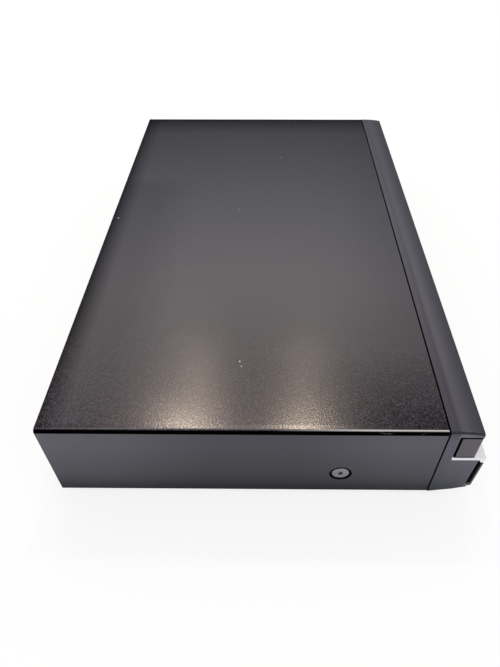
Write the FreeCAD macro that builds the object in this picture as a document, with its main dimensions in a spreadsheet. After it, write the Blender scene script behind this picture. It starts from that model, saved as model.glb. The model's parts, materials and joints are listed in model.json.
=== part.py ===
import FreeCAD, Part
import math
import os

import Sketcher

# A disc and hard disk recorder with a tray loader, on four feet.
# Millimetres. The front faces -Y, +X is the right-hand side seen from the front, +Z is up.
# The origin is on the floor, under the middle of the whole box, rear sockets included.

SIZES = (
    # outer casing
    ("case_width", 430.0),
    ("cover_height", 65.5),
    ("cover_depth", 242.5),
    ("cover_sheet", 0.8),
    ("cover_bend", 2.4),
    ("rear_lip", 9.0),
    ("lip_screw_inset", 12.0),
    ("lip_screw_margin", 1.2),
    ("foot_height", 6.5),
    ("rear_reach", 12.5),
    ("front_depth", 20.7),
    ("ledge_reach", 7.3),
    ("seam_gap", 0.45),
    ("panel_gap", 0.2),
    # cover screws on the two sides
    ("side_screw_back", 183.2),
    ("side_screw_up", 20.4),
    ("dimple_radius", 7.0),
    ("dimple_depth", 1.2),
    ("side_head_radius", 5.85),
    ("side_head_height", 1.15),
    ("side_shank_radius", 1.9),
    ("side_shank_length", 7.0),
    # small screws
    ("screw_head_radius", 2.9),
    ("screw_head_height", 1.7),
    ("screw_shank_radius", 1.5),
    ("screw_shank_length", 6.0),
    ("screw_clearance", 0.15),
    # steel floor
    ("chassis_sheet", 1.0),
    ("side_flange", 34.0),
    ("front_flange", 14.0),
    ("boss_radius", 3.2),
    ("board_standoff", 8.0),
    ("boss_inset", 6.0),
    ("board_grid", 1.0),
    ("vent_length", 26.0),
    ("vent_width", 3.0),
    ("vent_pitch", 7.0),
    # feet
    ("foot_radius", 17.0),
    ("foot_draft", 2.0),
    ("foot_inset_x", 45.0),
    ("foot_inset_y", 30.0),
    ("foot_lift", 0.7),
    ("pad_radius", 11.5),
    ("pad_height", 2.2),
    ("foot_well_gap", 0.4),
    # front moulding: up from the cover's lower edge, drop from its top
    ("moulding_wall", 2.2),
    ("face_drop", 1.5),
    ("top_flat", 4.0),
    ("front_bend", 2.0),
    ("chin_drop", 0.6),
    ("seam_bevel", 1.1),
    ("chin_knee_ahead", 15.2),
    ("chin_knee_up", 2.3),
    ("chin_tip_ahead", 24.6),
    ("chin_tip_up", 5.4),
    ("lip_up", 7.0),
    ("bay_ahead", 16.0),
    ("bay_drop", 30.9),
    ("cheek_low_up", 8.2),
    ("cheek_low_ahead", 22.7),
    ("cheek_high_ahead", 23.8),
    ("tongue_length", 6.0),
    ("tongue_thickness", 2.0),
    ("tongue_inset", 6.0),
    ("frame_boss_up", 8.0),
    ("frame_boss_inset", 30.0),
    ("frame_boss_radius", 3.5),
    # fascia and trim
    ("fascia_plate", 2.0),
    ("fascia_wing", 1.5),
    ("fascia_wing_back", 7.8),
    ("fascia_low_drop", 25.2),
    ("fascia_drop", 5.3),
    ("fascia_groove", 0.9),
    ("trim_low_drop", 28.5),
    ("trim_drop", 26.1),
    ("trim_back", 7.1),
    ("trim_tick", 0.8),
    ("ledge_low_drop", 31.1),
    ("ledge_front_back", 1.0),
    ("ledge_lip", 1.1),
    ("ledge_under_back", 3.7),
    ("fit_gap", 0.1),
    # drop-down flap
    ("flap_face_back", 0.2),
    ("flap_thickness", 1.2),
    ("flap_lean", 1.0),
    ("flap_drop", 31.9),
    ("flap_axis_up", 8.6),
    ("flap_barrel", 1.8),
    ("flap_pin", 1.0),
    ("flap_running", 0.06),
    ("ear_width", 4.0),
    ("ear_gap", 0.4),
    ("ear_inset", 33.0),
    ("ear_middle", 63.0),
    # front openings, keys and display
    ("band_drop", 15.0),
    ("tray_middle_inset", 125.0),
    ("tray_front_width", 151.0),
    ("tray_front_height", 14.6),
    ("tray_front_gap", 0.5),
    ("key_width", 14.0),
    ("key_height", 6.0),
    ("key_proud", 0.8),
    ("key_gap", 0.35),
    ("key_travel", 0.8),
    ("key_flange", 1.4),
    ("key_flange_thickness", 1.2),
    ("key_stem", 1.8),
    ("key_stem_length", 2.4),
    ("keys_inset", 73.0),
    ("key_pitch", 18.0),
    ("edge_round", 0.6),
    ("power_key_inset", 25.0),
    ("window_left_gap", 22.5),
    ("window_right_gap", 11.0),
    ("window_height", 12.5),
    ("window_gap", 0.12),
    ("tube_width", 92.0),
    ("tube_height", 11.0),
    ("tube_depth", 7.5),
    # front circuit board
    ("board_thickness", 1.6),
    ("front_board_ahead", 4.9),
    ("front_board_drop", 6.5),
    ("front_board_width", 204.0),
    ("front_board_side", 9.0),
    ("power_key_board", 24.0),
    ("key_board_margin", 4.0),
    ("switch_size", 6.0),
    ("switch_body", 4.0),
    ("front_jack_inset", 23.0),
    ("front_jack_pitch", 16.0),
    ("front_jack_up", 21.0),
    ("jack_barrel", 4.15),
    ("jack_bore", 1.6),
    ("jack_reach", 8.0),
    ("jack_body", 10.5),
    ("jack_hole_gap", 0.4),
    # disc tray
    ("disc_radius", 60.0),
    ("disc_ease", 0.8),
    ("small_disc_radius", 40.0),
    ("disc_margin", 6.0),
    ("tray_tail", 35.4),
    ("tray_side_wall", 2.5),
    ("tray_side_margin", 5.2),
    ("tray_flange_step", 5.0),
    ("tray_flange_thickness", 3.0),
    ("tray_flange_lap", 1.0),
    ("tray_base_drop", 17.0),
    ("tray_top_drop", 11.5),
    ("disc_seat_drop", 2.8),
    ("small_seat_drop", 0.8),
    ("tray_slot", 20.0),
    ("tray_slide_gap", 0.3),
    # loading gears, module in millimetres
    ("gear_module", 1.0),
    ("rack_teeth_travel", 43.0),
    ("tray_gear_teeth", 20.0),
    ("pinion_teeth", 14.0),
    ("gear_top_gap", 2.2),
    ("gear_mesh_height", 2.6),
    ("tray_gear_height", 8.8),
    ("pinion_height", 3.3),
    ("pinion_lift", 0.2),
    ("pulley_drop", 0.5),
    ("neck_radius", 5.0),
    ("rack_bar", 4.5),
    ("rack_middle", -46.0),
    ("gear_back", 6.5),
    ("post_radius", 1.5),
    ("running_gap", 0.06),
    ("end_gap", 0.3),
    ("pulley_radius", 10.2),
    ("motor_pulley_radius", 2.8),
    ("pulley_rim", 1.0),
    ("pulley_height", 3.0),
    ("belt_size", 1.2),
    ("belt_gap", 0.15),
    ("belt_span", 41.0),
    ("motor_radius", 10.2),
    ("motor_height", 8.5),
    ("motor_shaft", 1.0),
    # loader frame
    ("tray_side_gap", 0.5),
    ("loader_wall", 2.5),
    ("loader_floor", 2.0),
    ("loader_front_wall", 2.0),
    ("ledge_width", 5.0),
    ("ledge_thickness", 2.4),
    ("guide_width", 3.0),
    ("guide_thickness", 2.0),
    ("rear_guide_length", 40.0),
    ("post_end", 0.8),
    ("pivot_gap", 1.0),
    ("pivot_ear", 2.5),
    ("pivot_ear_width", 10.0),
    ("loader_bottom_drop", 43.0),
    ("loader_drop", 6.0),
    ("loader_ahead", 8.0),
    ("loader_tail", 20.0),
    ("loader_lid_sheet", 0.8),
    ("bridge_half", 17.5),
    ("bridge_drop", 8.9),
    ("bridge_height", 1.4),
    ("clamper_radius", 12.5),
    ("clamper_flange", 15.5),
    ("clamper_drop", 10.6),
    ("clamper_flange_height", 0.8),
    ("clamper_recess", 8.0),
    ("clamper_recess_depth", 1.2),
    ("clamper_play", 0.7),
    # lifting traverse with motor and pickup
    ("traverse_left", 40.0),
    ("traverse_right", 50.0),
    ("traverse_front_back", 23.3),
    ("traverse_axis_back", 102.7),
    ("traverse_drop", 30.0),
    ("traverse_sheet", 3.0),
    ("traverse_pin", 2.0),
    ("traverse_pin_length", 4.0),
    ("apron_drop", 39.0),
    ("apron_thickness", 2.5),
    ("traverse_tail", 4.0),
    ("lift_pin", 1.5),
    ("lift_pin_drop", 36.0),
    ("lift_pin_left", -25.0),
    ("lift_pin_right", 20.0),
    ("lift_height", 10.0),
    ("cam_travel", 16.0),
    ("cam_sheet", 2.5),
    ("cam_gap", 3.0),
    ("cam_slot_gap", 0.4),
    ("cam_left", -48.0),
    ("cam_right", 30.0),
    ("cam_height", 18.4),
    ("cam_guide_inset", 16.0),
    ("cam_guide_width", 6.0),
    ("cam_guide_thickness", 2.0),
    ("cam_guide_height", 5.0),
    ("cam_stop_thickness", 1.4),
    ("cam_stop_height", 2.2),
    ("spindle_radius", 12.5),
    ("spindle_height", 5.5),
    ("spindle_drop", 1.5),
    ("spindle_floor", 1.0),
    ("spindle_shaft", 1.5),
    ("brim_width", 1.0),
    ("brim_height", 0.8),
    ("rotor_radius", 12.0),
    ("rotor_height", 1.6),
    ("turntable_radius", 14.5),
    ("turntable_height", 2.2),
    ("cone_radius", 7.35),
    ("cone_tip_radius", 5.85),
    ("cone_height", 2.8),
    ("window_left", 30.0),
    ("window_right", 44.0),
    ("pickup_front_gap", 1.5),
    ("pickup_rear_gap", 7.5),
    ("rod_radius", 1.5),
    ("rod_spread", 52.0),
    ("pickup_start", 25.0),
    ("pickup_length", 18.0),
    ("pickup_width", 57.0),
    ("pickup_height", 5.5),
    ("feed_nut_length", 6.0),
    ("feed_nut_height", 4.5),
    ("pickup_travel", 33.0),
    ("lens_radius", 3.4),
    ("lens_height", 1.6),
    ("screw_side", 37.0),
    ("feed_radius", 1.5),
    ("feed_motor_radius", 5.0),
    ("feed_motor_length", 15.0),
    ("feed_bearing", 5.0),
    # drive carrier and its circuit board
    ("bracket_sheet", 1.0),
    ("bracket_margin", 2.0),
    ("bracket_foot", 8.0),
    ("bracket_front", 46.0),
    ("bracket_rear", 10.0),
    ("drive_board_width", 120.0),
    ("drive_board_depth", 100.0),
    ("drive_board_drop", 5.0),
    ("stud_radius", 2.5),
    # hard disk drive
    ("disk_drive_inset", 65.0),
    ("disk_drive_back", 91.0),
    ("disk_drive_width", 101.6),
    ("disk_drive_length", 147.0),
    ("disk_drive_up", 7.5),
    ("disk_board_height", 4.0),
    ("disk_board_side", 4.0),
    ("disk_board_end", 15.0),
    ("disk_base_height", 20.0),
    ("disk_base_floor", 4.0),
    ("disk_lid_height", 2.1),
    ("platter_radius", 47.5),
    ("platter_thickness", 1.3),
    ("platter_pitch", 6.0),
    ("platter_hub", 16.0),
    ("platter_gap", 1.1),
    ("platter_back", -23.0),
    ("disk_shaft", 2.5),
    ("disk_bearing_floor", 1.0),
    ("platter_clamp", 1.6),
    ("first_platter_up", 3.0),
    ("arm_room_side", 22.0),
    ("arm_room_length", 66.0),
    ("arm_room_front", 8.0),
    ("arm_room_wall", 5.5),
    ("arm_side", -24.0),
    ("arm_back", 44.5),
    ("arm_hub", 9.0),
    ("arm_length", 52.0),
    ("arm_thickness", 1.6),
    ("arm_post", 3.0),
    ("arm_post_gap", 2.0),
    ("arm_root", 7.0),
    ("arm_tip", 2.6),
    ("arm_tail", 18.0),
    ("arm_tail_half", 10.0),
    ("disk_bracket_height", 22.0),
    ("disk_bracket_foot", 9.0),
    ("disk_bracket_inset", 12.0),
    # power supply
    ("power_left_of_disk", 106.0),
    ("power_back", 99.5),
    ("power_width", 92.0),
    ("power_depth", 160.0),
    ("fuse_side", 12.0),
    ("fuse_front", 10.0),
    ("fuse_length", 20.0),
    ("fuse_radius", 2.4),
    ("fuse_up", 4.5),
    ("fuse_clip", 3.0),
    ("core_left", 2.0),
    ("core_ahead", 14.0),
    ("core_up", 5.0),
    ("core_width", 40.0),
    ("core_depth", 14.0),
    ("core_height", 26.0),
    ("coil_radius", 15.5),
    ("coil_height", 18.0),
    ("bobbin_width", 34.0),
    ("bobbin_depth", 32.0),
    ("sink_plate", 2.5),
    ("sink_height", 34.0),
    ("fin_pitch", 5.5),
    ("fin_length", 8.0),
    ("fin_thickness", 1.2),
    ("fin_up", 3.0),
    # mains inlet
    ("inlet_inset", 130.0),
    ("inlet_up", 30.0),
    ("inlet_width", 20.4),
    ("inlet_height", 10.6),
    ("inlet_depth", 11.5),
    ("inlet_wall", 2.0),
    ("inlet_flange", 4.0),
    ("inlet_flange_thickness", 2.0),
    ("inlet_pin", 1.2),
    ("inlet_pin_pitch", 8.6),
    ("inlet_pin_length", 9.0),
    # main circuit board and rear sockets
    ("main_inset", 9.0),
    ("main_width", 266.0),
    ("main_depth", 50.0),
    ("tuner_inset", 16.0),
    ("tuner_width", 18.0),
    ("tuner_depth", 42.0),
    ("tuner_height", 46.0),
    ("aerial_radius", 4.75),
    ("aerial_bore", 1.3),
    ("aerial_collar_radius", 5.3),
    ("aerial_collar_proud", 1.0),
    ("aerial_pitch", 19.0),
    ("aerial_up", 16.0),
    ("scart_inset", 64.0),
    ("scart_width", 50.0),
    ("scart_height", 17.0),
    ("scart_depth", 24.0),
    ("scart_pitch", 21.0),
    ("scart_up", 21.0),
    ("scart_groove", 1.5),
    ("scart_groove_depth", 8.0),
    ("scart_core_width", 42.0),
    ("scart_core_height", 9.0),
    ("scart_proud", 1.5),
    ("scart_step", 1.0),
    ("jack_inset", 110.0),
    ("jack_pitch", 15.0),
    ("jack_rows_up", 20.0),
    ("jack_row_pitch", 16.0),
    ("jack_columns", 5.0),
    ("jack_collar", 1.0),
    ("jack_carrier_margin", 6.5),
    ("jack_carrier_depth", 13.0),
    ("digital_wall", 1.0),
    ("digital_up", 2.0),
    ("digital_depth", 10.0),
    # fan
    ("fan_inset", 50.0),
    ("fan_up", 33.0),
    ("fan_size", 50.0),
    ("fan_depth", 15.0),
    ("fan_bore", 23.6),
    ("fan_blade", 22.8),
    ("fan_hub", 11.0),
    ("fan_wall", 1.5),
    ("fan_shaft", 1.5),
    ("fan_screw_pitch", 40.0),
    ("fan_blades", 7.0),
    ("blade_thickness", 1.2),
    ("blade_angle", 40.0),
    ("blade_width", 10.0),
    ("fan_plate", 4.0),
    ("fan_bearing", 5.0),
    ("fan_strut", 4.0),
    ("grille_rings", 3.0),
    ("grille_pitch", 6.6),
    ("grille_hole", 2.2),
    # flat cables
    ("ribbon_thickness", 1.0),
    ("ribbon_width", 36.0),
    ("ribbon_bend", 5.0),
    ("ribbon_inset", 1.5),
    ("ribbon_up", 14.0),
)

doc = FreeCAD.newDocument("DiscRecorder")
sheet = doc.addObject("Spreadsheet::Sheet", "Sizes")
for row, (name, number) in enumerate(SIZES, start=1):
    sheet.set(f"A{row}", name)
    sheet.set(f"B{row}", str(number))
    sheet.setAlias(f"B{row}", name)
doc.recompute()


class Size:
    """A length written as an expression of the sheet's cells."""

    def __init__(self, text):
        self.text = text

    def __add__(self, other):
        return Size(f"({self.text} + {as_text(other)})")

    def __radd__(self, other):
        return Size(f"({as_text(other)} + {self.text})")

    def __sub__(self, other):
        return Size(f"({self.text} - {as_text(other)})")

    def __rsub__(self, other):
        return Size(f"({as_text(other)} - {self.text})")

    def __mul__(self, other):
        return Size(f"({self.text} * {as_text(other)})")

    def __rmul__(self, other):
        return Size(f"({as_text(other)} * {self.text})")

    def __truediv__(self, other):
        return Size(f"({self.text} / {as_text(other)})")

    def __neg__(self):
        return Size(f"(0 - {self.text})")

    def root(self):
        return Size(f"sqrt({self.text})")


def as_text(size):
    """Give the expression of a size or of a plain number."""
    if isinstance(size, Size):
        return size.text
    return f"({size:.6f})" if size < 0 else f"{size:.6f}"


def value(size):
    """Work a size out in millimetres."""
    return float(sheet.evalExpression(as_text(size)))


class SizeNames:
    """Read a driving size of the sheet by its name."""

    def __getattr__(self, name):
        return Size(f"Sizes.{name}")


S = SizeNames()
NODES = {}


def keep(label, item):
    """Name a finished sub-part and list it for export."""
    item.Label = label
    NODES[label] = item
    return item


def bind(item, **sizes):
    """Tie properties of an object to sizes."""
    for name, size in sizes.items():
        item.setExpression(name.replace("__", "."), as_text(size))


def place(item, x, y, z):
    """Tie the place of an object's own origin to sizes."""
    bind(item, Placement__Base__x=x, Placement__Base__y=y, Placement__Base__z=z)
    return item


TURNS = {
    "x": FreeCAD.Rotation(FreeCAD.Vector(0, 1, 0), 90),
    "y": FreeCAD.Rotation(FreeCAD.Vector(1, 0, 0), -90),
    "z": FreeCAD.Rotation(),
}


def box(x, y, z):
    """A block from the low to the high end along each axis."""
    item = doc.addObject("Part::Box", "Block")
    bind(item, Length=x[1] - x[0], Width=y[1] - y[0], Height=z[1] - z[0])
    return place(item, x[0], y[0], z[0])


def middle_box(x, y, z, width, depth, height):
    """A block centred on x and y that stands on z."""
    return box(spread(x, width), spread(y, depth), (z, z + height))


def spread(middle, width):
    """The two ends of a width about its middle."""
    return (middle - width / 2, middle + width / 2)


def rod(axis, x, y, z, radius, length):
    """A round bar from its start point along +x, +y or +z."""
    item = doc.addObject("Part::Cylinder", "Round")
    item.Placement = FreeCAD.Placement(FreeCAD.Vector(), TURNS[axis])
    bind(item, Radius=radius, Height=length)
    return place(item, x, y, z)


def taper(axis, x, y, z, start_radius, end_radius, length):
    """A cone stump from its start point along +x, +y or +z."""
    item = doc.addObject("Part::Cone", "Taper")
    item.Placement = FreeCAD.Placement(FreeCAD.Vector(), TURNS[axis])
    bind(item, Radius1=start_radius, Radius2=end_radius, Height=length)
    return place(item, x, y, z)


def joined(items):
    """One solid from pieces that meet or overlap."""
    items = list(items)
    if len(items) == 1:
        return items[0]
    item = doc.addObject("Part::MultiFuse", "Joined")
    item.Shapes = items
    item.Refine = True
    return item


def several(items):
    """Separate solids kept together, such as a set of screws."""
    item = doc.addObject("Part::Compound", "Several")
    item.Links = list(items)
    return item


def cut(base, tools):
    """Take the tools away from the base."""
    tools = list(tools)
    item = doc.addObject("Part::Cut", "Cut")
    item.Base = base
    item.Tool = tools[0] if len(tools) == 1 else joined(tools)
    item.Refine = True
    return item


PLANES = {"XY": "XY_Plane", "XZ": "XZ_Plane", "YZ": "YZ_Plane"}


def circle(across, up, radius):
    """A round outline."""
    return {"across": across, "up": up, "radius": radius}


def oblong(across, up, radius=None):
    """A rectangular outline from low to high, with rounded corners if a radius is given."""
    (left, right), (low, high) = across, up
    if radius is None:
        return [(left, low), (right, low), (right, high), (left, high)]
    return [
        (left + radius, low), (right - radius, low, radius),
        (right, low + radius), (right, high - radius, radius),
        (right - radius, high), (left + radius, high, radius),
        (left, high - radius), (left, low + radius, radius),
    ]


def arc_between(start, end, radius):
    """The arc from start to end, counter-clockwise for a positive radius."""
    chord = end - start
    half = chord.Length / 2
    side = FreeCAD.Vector(-chord.y, chord.x, 0).normalize()
    away = math.sqrt(max(radius * radius - half * half, 0.0))
    centre = (start + end) * 0.5 + side * (away if radius > 0 else -away)
    first, last = (start, end) if radius > 0 else (end, start)
    angles = [math.atan2(point.y - centre.y, point.x - centre.x) for point in (first, last)]
    if angles[1] < angles[0]:
        angles[1] += 2 * math.pi
    ring = Part.Circle(centre, FreeCAD.Vector(0, 0, 1), abs(radius))
    return Part.ArcOfCircle(ring, angles[0], angles[1])


def tie_point(sketch, geometry, position, across, up):
    """Hold a sketch point at its two sizes."""
    for kind, size in (("DistanceX", across), ("DistanceY", up)):
        rule = Sketcher.Constraint(kind, -1, 1, geometry, position, value(size))
        number = sketch.addConstraint(rule)
        sketch.setExpression(f"Constraints[{number}]", as_text(size))


def draw_circle(sketch, outline):
    """Draw a round outline held at its centre and radius."""
    centre = FreeCAD.Vector(value(outline["across"]), value(outline["up"]), 0)
    radius = value(outline["radius"])
    index = sketch.addGeometry(Part.Circle(centre, FreeCAD.Vector(0, 0, 1), radius), False)
    tie_point(sketch, index, 3, outline["across"], outline["up"])
    number = sketch.addConstraint(Sketcher.Constraint("Radius", index, radius))
    sketch.setExpression(f"Constraints[{number}]", as_text(outline["radius"]))


def draw_outline(sketch, outline):
    """Draw a closed outline: a corner with a third entry starts an arc of that radius."""
    corners = [FreeCAD.Vector(value(corner[0]), value(corner[1]), 0) for corner in outline]
    ends = []
    for step, corner in enumerate(outline):
        start, end = corners[step], corners[(step + 1) % len(corners)]
        if len(corner) == 2:
            index = sketch.addGeometry(Part.LineSegment(start, end), False)
            ends.append((index, 1, 2))
            continue
        radius = value(corner[2])
        index = sketch.addGeometry(arc_between(start, end, radius), False)
        ends.append((index, 1, 2) if radius > 0 else (index, 2, 1))
        size = corner[2] if radius > 0 else -corner[2]
        number = sketch.addConstraint(Sketcher.Constraint("Radius", index, abs(radius)))
        sketch.setExpression(f"Constraints[{number}]", as_text(size))
    for step, (index, first, last) in enumerate(ends):
        following, start, _ = ends[(step + 1) % len(ends)]
        sketch.addConstraint(Sketcher.Constraint("Coincident", index, last, following, start))
        tie_point(sketch, index, first, outline[step][0], outline[step][1])


def new_body(label):
    """Start a sub-part that is built from sketches."""
    body = doc.addObject("PartDesign::Body", "Body")
    return keep(label, body)


def draw(body, plane, level, outlines):
    """Draw outlines on one of the body's own planes, moved to a level along the axis."""
    sketch = body.newObject("Sketcher::SketchObject", "Outline")
    plane_object = next(o for o in body.Origin.OriginFeatures if o.Role == PLANES[plane])
    sketch.AttachmentSupport = [(plane_object, "")]
    sketch.MapMode = "FlatFace"
    bind(sketch, AttachmentOffset__Base__z=-level if plane == "XZ" else level)
    for outline in outlines:
        if isinstance(outline, dict):
            draw_circle(sketch, outline)
        else:
            draw_outline(sketch, outline)
    return sketch


def add(body, plane, span, *outlines):
    """Add material inside the outlines, from the low to the high end of the span."""
    low, high = span
    feature = body.newObject("PartDesign::Pad", "Pad")
    feature.Profile = draw(body, plane, high if plane == "XZ" else low, outlines)
    bind(feature, Length=high - low)
    return feature


def take(body, plane, span, *outlines):
    """Take material away inside the outlines, from the low to the high end of the span."""
    low, high = span
    feature = body.newObject("PartDesign::Pocket", "Pocket")
    feature.Profile = draw(body, plane, low if plane == "XZ" else high, outlines)
    bind(feature, Length=high - low)
    return feature


def round_edges(body, radius, wanted):
    """Round the edges of the body's last feature that the test picks."""
    doc.recompute()
    tip = body.Tip
    names = [f"Edge{n}" for n, edge in enumerate(tip.Shape.Edges, start=1) if wanted(edge)]
    if not names:
        raise ValueError(f"{body.Label}: no edge to round")
    feature = body.newObject("PartDesign::Fillet", "Fillet")
    feature.Base = (tip, names)
    bind(feature, Radius=radius)
    return feature


def near(first, second):
    """Whether two lengths are the same to a hundredth of a millimetre."""
    return abs(first - second) < 0.01


def runs_along(edge, axis):
    """Whether an edge is a straight line along the x, y or z axis."""
    if not isinstance(edge.Curve, (Part.Line, Part.LineSegment)):
        return False
    direction = edge.tangentAt(edge.FirstParameter)
    return near(abs(getattr(direction, axis)), 1.0)


# How far a cutting tool reaches past a face, and a joined piece into its neighbour.
OVER = 1.0

# Planes that many pieces share.
HALF = S.case_width / 2
REAR = (S.cover_depth + S.front_depth + S.ledge_reach - S.rear_reach) / 2
SEAM = REAR - S.cover_depth
BASE = S.foot_height
TOP = BASE + S.cover_height
FLOOR = BASE + S.chassis_sheet
PANEL_BACK = REAR - S.cover_sheet
PANEL_FRONT = PANEL_BACK - S.chassis_sheet


def ahead(distance):
    """A y at this distance in front of the seam between cover and front."""
    return SEAM - distance


def up(height):
    """A z at this height above the cover's lower edge."""
    return BASE + height


def down(distance):
    """A z at this distance below the cover's top."""
    return TOP - distance


def screw(axis, x, y, z, head_radius, head_height, shank_radius, shank_length):
    """A screw whose head lies outside the point and whose shank runs on along the axis."""
    back = {"x": (1, 0, 0), "y": (0, 1, 0), "z": (0, 0, 1)}[axis.strip("-")]
    head_at = [place - step * head_height for place, step in zip((x, y, z), back)]
    if axis.startswith("-"):
        head = rod(axis[1], x, y, z, head_radius, head_height)
        foot = [place - step * shank_length for place, step in zip((x, y, z), back)]
        shank = rod(axis[1], *foot, shank_radius, shank_length)
        return joined([head, shank])
    head = rod(axis, *head_at, head_radius, head_height)
    shank = rod(axis, x, y, z, shank_radius, shank_length)
    return joined([head, shank])


def small_screw(axis, x, y, z):
    """One of the small identical screws."""
    return screw(axis, x, y, z, S.screw_head_radius, S.screw_head_height,
                 S.screw_shank_radius, S.screw_shank_length)


SIDE_SCREW_Y = REAR - S.side_screw_back
SIDE_SCREW_Z = up(S.side_screw_up)


def top_cover():
    """The folded steel cover: top, two sides and a short lip over the rear panel."""
    body = new_body("top_cover")
    inner = S.cover_bend - S.cover_sheet
    inside = HALF - S.cover_sheet
    under = TOP - S.cover_sheet
    turned = TOP - S.cover_bend
    flat = HALF - S.cover_bend
    profile = [
        (-HALF, BASE), (-inside, BASE),
        (-inside, turned, -inner), (-flat, under),
        (flat, under, -inner), (inside, turned),
        (inside, BASE), (HALF, BASE),
        (HALF, turned, S.cover_bend), (flat, TOP),
        (-flat, TOP, S.cover_bend), (-HALF, turned),
    ]
    add(body, "XZ", (SEAM + S.seam_gap, REAR), profile)
    lip = inside - S.cover_bend
    add(body, "XZ", (REAR - S.cover_sheet, REAR),
        oblong((-lip, lip), (TOP - S.rear_lip, TOP - S.cover_sheet / 2)))
    backing = S.dimple_radius + S.cover_sheet
    hole = S.side_shank_radius + S.screw_clearance
    for side in (-1, 1):
        seat = side * (HALF - S.dimple_depth)
        inner_face = side * (inside - S.dimple_depth)
        outside = side * (HALF + S.cover_sheet)
        skin = side * (HALF - S.cover_sheet / 2)
        add(body, "YZ", in_order(side, inner_face, skin), circle(SIDE_SCREW_Y, SIDE_SCREW_Z, backing))
        take(body, "YZ", in_order(side, seat, outside),
             circle(SIDE_SCREW_Y, SIDE_SCREW_Z, S.dimple_radius))
        take(body, "YZ", in_order(side, inner_face - side * S.cover_sheet, outside),
             circle(SIDE_SCREW_Y, SIDE_SCREW_Z, hole))
    take(body, "XZ", (REAR - 2 * S.cover_sheet, REAR + S.cover_sheet),
         *[circle(x, LIP_SCREW_Z, S.screw_shank_radius + S.screw_clearance) for x in LIP_SCREWS_X])


def in_order(side, near_middle, outer):
    """A span along x, low end first, from its end near the middle and its outer end."""
    return (near_middle, outer) if side > 0 else (outer, near_middle)


# Places across that many pieces share, measured in from the two sides.
TRAY_X = -HALF + S.tray_middle_inset
TRAY_RIGHT = TRAY_X + S.tray_front_width / 2
KEYS_X = HALF - S.keys_inset
WINDOW_WIDTH = KEYS_X - S.key_width / 2 - S.window_right_gap - TRAY_RIGHT - S.window_left_gap
WINDOW_X = TRAY_RIGHT + S.window_left_gap + WINDOW_WIDTH / 2
DISK_X, DISK_Y = HALF - S.disk_drive_inset, SEAM + S.disk_drive_back
POWER_X, POWER_Y = DISK_X - S.power_left_of_disk, SEAM + S.power_back
MAIN_LEFT = -HALF + S.main_inset
MAIN_RIGHT = MAIN_LEFT + S.main_width
TUNER_X = MAIN_LEFT + S.tuner_inset
SCART_X = MAIN_LEFT + S.scart_inset
FIRST_JACK_X = MAIN_LEFT + S.jack_inset
INLET_X = HALF - S.inlet_inset
FAN_X, FAN_Z = HALF - S.fan_inset, up(S.fan_up)

LIP_SCREW_Z = TOP - S.rear_lip + S.screw_head_radius + S.lip_screw_margin
LIP_SCREWS_X = [-HALF + S.lip_screw_inset, 0.0, HALF - S.lip_screw_inset]
CHASSIS_HALF = HALF - S.cover_sheet - S.dimple_depth
FEET = [(side * (HALF - S.foot_inset_x), y) for side in (-1, 1)
        for y in (SEAM + S.foot_inset_y, REAR - S.foot_inset_y)]


def chassis_boss_places():
    """Where the pressed bosses under the two loose circuit boards stand."""
    power_x, power_y = spread(POWER_X, S.power_width), spread(POWER_Y, S.power_depth)
    main_y = (PANEL_FRONT - S.main_depth, PANEL_FRONT)
    places = []
    for across, deep in ((power_x, power_y), ((MAIN_LEFT, MAIN_RIGHT), main_y)):
        places += [(x, y) for x in inset(across, S.boss_inset) for y in inset(deep, S.boss_inset)]
    return places


def inset(span, margin):
    """The two ends of a span, each moved inwards by a margin."""
    return (span[0] + margin, span[1] - margin)


def bottom_chassis():
    """The folded steel floor with side and front flanges, bosses and vents."""
    body = new_body("bottom_chassis")
    front, back = SEAM, PANEL_FRONT
    add(body, "XY", (BASE, FLOOR), oblong((-CHASSIS_HALF, CHASSIS_HALF), (front, back)))
    for side in (-1, 1):
        wall = in_order(side, side * (CHASSIS_HALF - S.chassis_sheet), side * CHASSIS_HALF)
        add(body, "YZ", wall, oblong((front, back), (BASE, up(S.side_flange))))
    add(body, "XZ", (front, front + S.chassis_sheet),
        oblong((-CHASSIS_HALF, CHASSIS_HALF), (BASE, up(S.front_flange))))
    add(body, "XY", (BASE + S.chassis_sheet / 2, FLOOR + S.board_standoff),
        *[circle(x, y, S.boss_radius) for x, y in chassis_boss_places()])
    take(body, "XY", (FLOOR, FLOOR + S.board_standoff + OVER),
         *[circle(x, y, S.screw_shank_radius) for x, y in chassis_boss_places()])
    hole = S.screw_shank_radius + S.screw_clearance
    take(body, "XY", (BASE - OVER, FLOOR + OVER), *[circle(x, y, hole) for x, y in FEET])
    slots = []
    for row_y in (POWER_Y - S.vent_length * 0.75, POWER_Y + S.vent_length * 0.75):
        for step in range(8):
            x = POWER_X + S.vent_pitch * (step - 3.5)
            slots.append(oblong(spread(x, S.vent_width), spread(row_y, S.vent_length)))
    take(body, "XY", (BASE - OVER, FLOOR + OVER), *slots)
    side_hole = S.side_shank_radius + S.screw_clearance
    take(body, "YZ", (-HALF, HALF), circle(SIDE_SCREW_Y, SIDE_SCREW_Z, side_hole))
    take(body, "XZ", (front - OVER, front + 2 * S.chassis_sheet),
         *[circle(x, FRAME_BOSS_Z, hole) for x in FRAME_BOSSES_X])


FRAME_BOSS_Z = up(S.frame_boss_up)
FRAME_BOSSES_X = [-HALF + S.frame_boss_inset, 0.0, HALF - S.frame_boss_inset]
FOOT_SEAT = S.pad_height + S.screw_head_height + S.foot_well_gap


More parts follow.
